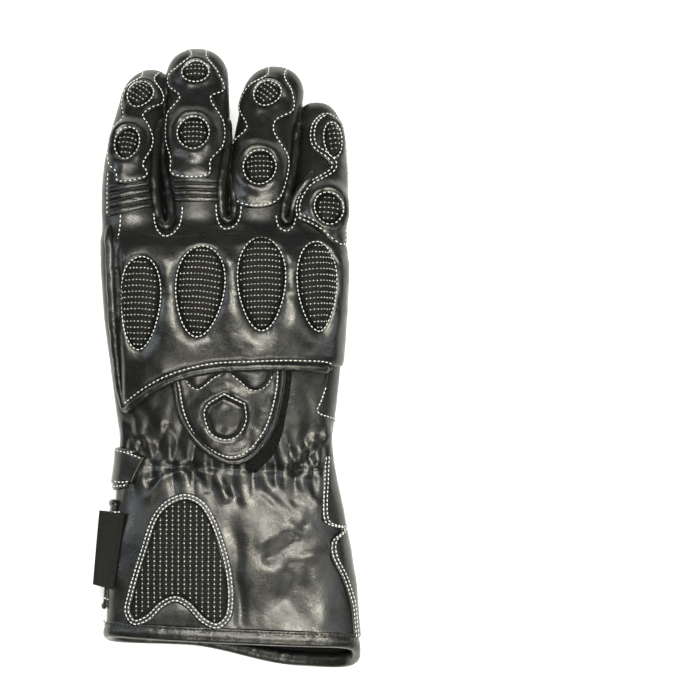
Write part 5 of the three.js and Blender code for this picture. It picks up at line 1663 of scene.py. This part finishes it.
# Thumb: pad with two grip inserts, and the rolled seam along its inner edge
THUMB_PAD = [(0.12, -0.16, 0.06), (0.28, -0.38, 0.20), (0.44, -0.44, 0.34), (0.60, -0.37, 0.19),
             (0.73, -0.33, 0.40), (0.86, -0.22, 0.34), (0.95, -0.02, 0.16)]
THUMB_SIZE = np.array([THUMB_WIDTH, THUMB_LENGTH])
left = [(s, a) for a, s, _ in THUMB_PAD]
right = [(s, a) for a, _, s in THUMB_PAD][::-1]
thumb_outline = closed_curve(np.array(left + right) * THUMB_SIZE)
THUMB_INSERTS = [("tip", (0.02, 0.73), 0.44, 0.44), ("base", (-0.07, 0.40), 0.42, 0.48)]
thumb_rings = [(place, egg(middle * THUMB_SIZE, wide * THUMB_WIDTH, high * THUMB_WIDTH, 0, 0.08))
               for place, middle, wide, high in THUMB_INSERTS]
thumb_shapes = [wrinkles(0.2, 6.0, 87), dome(thumb_outline, 0.5, 5.0),
                groove(inset(thumb_outline, 1.2), 0.35, 0.7)]
thumb_shapes += [swell(ring, 0.35, 2.5) for _, ring in thumb_rings]
thumb_pad = Sewn("thumb_pad_leather", "thumb", thumb_outline, 1.3,
                 [inset(ring, 1.0) for _, ring in thumb_rings], 0.1, 1.0, thumb_shapes, 1.2)
thumb_pad.build("pad", "thumb_pad")
stitch(thumb_pad.place, inset(thumb_outline, 1.2), True)
for place, ring in thumb_rings:
    stitch(thumb_pad.place, ring, True, 2.0)
    grip_insert(f"thumb_{place}_grip", f"thumb_insert_{place}", "thumb", ring, 0.7, 35)
seam = open_curve(np.array([(0.20, 0.10), (0.40, 0.22), (0.47, 0.5), (0.47, 0.8), (0.38, 0.97)]) * THUMB_SIZE,
                  1.2)
points, normals = charts["thumb"].place(seam)
tube("thumb_seam_roll", smoothed(points, 4) + normals * 0.3, smoothed(normals, 4), 1.5, 1.3, crumple=0.15,
     ends=5.0)

# Wrist strap: from the back round the index side to its pointed end on the palm
strap_back_outline = closed_curve(np.concatenate([
    on_back((148, 455.8), (133.6, 483.0)), [[-63.0, -16.0], [-64.0, 1.5]],
    on_back((121, 447.6))]), 0.8, sharp=(0, 1, 2, 3))
strap_back = Sewn("wrist_strap_back", "back", strap_back_outline, 2.0, (), 0.6, 1.0, [wrinkles(0.2, 7.0, 91)],
                  1.2)
strap_back.build("leather")
for row in ([(117.4, 449), (130, 452), (144, 457)], [(117.6, 481.6), (124, 482), (131, 481)]):
    stitch(strap_back.place, open_curve(on_back(*row)), False)
STRAP = cuff_line((-0.62, 0.02), (-0.30, 0.03), (-0.12, 0.04), (-0.03, 0.0), (0.0, -0.10), (-0.03, -0.20),
                  (-0.12, -0.25), (-0.30, -0.235), (-0.62, -0.19))
strap_outline = closed_curve(STRAP, 0.9, sharp=(0, 8))
strap = Sewn("wrist_strap_palm", "palm", strap_outline, 1.5, (), 0.2, 1.0, [wrinkles(0.2, 8.0, 93)], 1.3)
strap.build("leather", "wrist_strap")
stitch(strap.place, inset(strap_outline, 1.3), True)

# Closure flap: a wide tab under the cuff with a bound free end
FLAP_LINE = cuff_line((-0.575, -0.27), (-0.29, -0.30), (-0.10, -0.35), (-0.01, -0.43), (0.015, -0.54),
                      (0.0, -0.66), (-0.06, -0.76), (-0.25, -0.80), (-0.575, -0.825))
flap_outline = closed_curve(FLAP_LINE, 0.9, sharp=(0, 8))
flap = Sewn("closure_flap_leather", "palm", flap_outline, 1.6, (), 0.2, 1.0, [wrinkles(0.2, 9.0, 95)], 1.4)
flap.build("leather", "closure_flap")
for row in ([(-74, -28.6), (-35, -31), (-14, -35.6)], [(-74, -70.5), (-30, -68.2), (-8, -66)]):
    stitch(flap.place, open_curve(row), False)
free_end = open_curve(FLAP_LINE, 1.0)
roll("flap_binding_roll", *palm_chart.place(free_end), 3, 1.35, 1.7, 1.35, "closure_flap_binding",
     crumple=0.15)

# Loop tape beside the strap, and the dotted panel on the palm side of the cuff
band_outline = closed_curve(hand_line((0.0, 0.02), (0.12, 0.03), (0.30, -0.01), (0.27, -0.07), (0.17, -0.12),
                                      (0.10, -0.20), (0.02, -0.20)))
band = Sewn("palm_loop_tape", "palm", band_outline, 0.8, (), 0.0, 0.6, [wrinkles(0.4, 1.4, 97)], 1.0)
band.build("loop", "palm_loop_band")
PALM_PANEL = cuff_line((0.296, -0.10), (0.40, -0.28), (0.44, -0.646), (0.425, -0.90), (0.36, -0.97),
                       (0.27, -0.90), (0.196, -0.85), (0.12, -0.88), (0.05, -0.94), (0.02, -0.86),
                       (0.06, -0.553), (0.14, -0.282), (0.216, -0.144))
palm_panel_line = closed_curve(PALM_PANEL)
palm_rows = [palm_panel_line, inset(palm_panel_line, 2.0)]
palm_frame = Sewn("palm_grip_frame", "palm", inset(palm_panel_line, -1.0), 0.9, [inset(palm_panel_line, 2.9)],
                  0.1, 0.9, [groove(row, 0.25, 0.6) for row in palm_rows], 1.1)
palm_frame.build("pad")
for row in palm_rows:
    stitch(palm_frame.place, row, True, 2.0)
palm_grip_outline = inset(palm_panel_line, 2.5)
palm_grip = Sewn("palm_grip_fabric", "palm", palm_grip_outline, 0.5, (), 0.1, 0.8,
                 [dome(palm_grip_outline, 0.6, 5.0)], 1.4)
palm_grip.build("grip", "cuff_palm_panel")
dots(palm_grip, palm_grip_outline, 2.15, 2.85, 4.0, 0.95, 1.2)

# Rolled side seams of the fingers, seen from the palm
for name, finger in FINGERS.items():
    chart = charts[name + " palm"]
    for side in (-1, 1):
        if name == "pinky" and side > 0:
            continue
        alongs = np.linspace(0.03, 0.93, 60) * finger["length"]
        line = np.stack([side * (chart.width(alongs) - 1.2), alongs], axis=1)
        tag = "left" if side < 0 else "right"
        roll(f"finger_seam_{name}_{tag}", *chart.place(line), 4, 0.15, 1.1, 1.0, sides=8, crumple=0.12,
             ends=5.0)

build_copies("stitches", stitch_rows, STITCH_SHAPE, STITCH_FACES, "leather", materials["thread"])
build_copies("grip_dots", dot_rows, *unit_dot(), "grip_fabric", materials["dot"])
build_copies("grip_yarns", yarn_rows, STITCH_POINTS * [1.0, 0.30, 0.24], STITCH_FACES, "grip_fabric",
             materials["yarn"])


# Label: a bare woven tag that stands out from the index side of the cuff
LABEL_HEIGHT = 19.5


def build_label():
    corners = spots((98.2, 511), (125.7, 512), (114.5, 588.5), (91.6, 585.4))
    across, along = 14, 30
    rows = []
    for i in range(along + 1):
        v = i / along
        left = corners[0] + (corners[3] - corners[0]) * v
        right = corners[1] + (corners[2] - corners[1]) * v
        for j in range(across + 1):
            u = j / across
            plan = left + (right - left) * u
            rows.append((plan[0], plan[1], u, v))
    rows = np.array(rows)
    over, _ = drop(rows[:, :2])
    u, v = rows[:, 2], rows[:, 3]
    rests = over[across::across + 1, 2].repeat(across + 1) + 2.4
    height = LABEL_HEIGHT + (rests - LABEL_HEIGHT) * u ** 1.3
    height = height + 1.2 * np.sin(math.pi * u) + 0.8 * np.sin(2.4 * v + 0.6) * (1 - u)
    top = np.column_stack([rows[:, :2], np.maximum(height, np.where(over[:, 2] > 5, over[:, 2] + 2.2, 0))])
    count = len(top)
    points = np.concatenate([top + [0, 0, 0.35], top - [0, 0, 0.35]])
    faces = []
    wide = across + 1
    for i in range(along):
        for j in range(across):
            a = i * wide + j
            quad = (a, a + wide, a + wide + 1, a + 1)
            faces.append(quad)
            faces.append(tuple(v + count for v in quad[::-1]))
    edge = ([(j, j + 1) for j in range(across)]
            + [(i * wide + across, (i + 1) * wide + across) for i in range(along)]
            + [(along * wide + j + 1, along * wide + j) for j in range(across)][::-1]
            + [((i + 1) * wide, i * wide) for i in range(along)][::-1])
    faces += [(a, b, b + count, a + count) for a, b in edge]
    return points, faces


label_points, label_faces = build_label()
label = make_object("label_tag", label_points, label_faces, materials["tag"])
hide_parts("label")


# Floor, light and camera
VIEW_HEIGHT = 1.175
VIEW_WIDTH = 0.336
FOCUS = ORIGIN + MM * np.array([60.7, 49.0, 25.0])
floor_mesh = bpy.data.meshes.new("floor")
FLOOR_REACH = 6.0
floor_mesh.from_pydata([(-FLOOR_REACH, -FLOOR_REACH, 0), (FLOOR_REACH, -FLOOR_REACH, 0),
                        (FLOOR_REACH, FLOOR_REACH, 0), (-FLOOR_REACH, FLOOR_REACH, 0)], [], [(0, 1, 2, 3)])
floor = bpy.data.objects.new("floor", floor_mesh)
bpy.context.scene.collection.objects.link(floor)
floor_look = Shader("floor", (0.90, 0.90, 0.90), 0.85, Specular_IOR_Level=0.1, Emission_Strength=0.5)
floor_look.bsdf.inputs["Emission Color"].default_value = (1, 1, 1, 1)
floor_mesh.materials.append(floor_look.material)

camera_data = bpy.data.cameras.new("camera")
camera_data.angle = 2 * math.atan(VIEW_WIDTH / 2 / VIEW_HEIGHT)
camera = bpy.data.objects.new("camera", camera_data)
camera.location = FOCUS + np.array([0, 0, VIEW_HEIGHT])
bpy.context.scene.collection.objects.link(camera)
bpy.context.scene.camera = camera


def area_light(name, place, size, power, colour=(1, 1, 1)):
    """A soft square light that looks at the middle of the glove."""
    data = bpy.data.lights.new(name, "AREA")
    data.shape = "RECTANGLE"
    data.size, data.size_y = size
    data.energy = power
    data.color = colour
    light = bpy.data.objects.new(name, data)
    light.location = place
    target = Vector((0.0, 0.0, 0.02))
    light.rotation_euler = (target - light.location).to_track_quat("-Z", "Y").to_euler()
    bpy.context.scene.collection.objects.link(light)


area_light("key", (0.40, 0.16, 1.38), (0.38, 0.38), 15, (1.0, 0.96, 0.82))
area_light("top", (-0.10, 0.46, 1.45), (0.36, 0.36), 12, (1.0, 0.97, 0.86))
area_light("low", (0.16, -0.86, 1.10), (0.38, 0.38), 8, (1.0, 0.96, 0.84))
area_light("left", (-1.1, 0.25, 0.95), (0.30, 0.9), 4.5, (0.86, 0.94, 1.0))
area_light("right", (1.1, -0.1, 0.95), (0.30, 0.9), 2.5, (0.95, 0.98, 1.0))
world = bpy.data.worlds.new("world")
bpy.context.scene.world = world
world.use_nodes = True
world.node_tree.nodes["Background"].inputs["Color"].default_value = (0.75, 0.88, 1, 1)
world.node_tree.nodes["Background"].inputs["Strength"].default_value = 0.06

bpy.context.scene.view_settings.view_transform = "Standard"
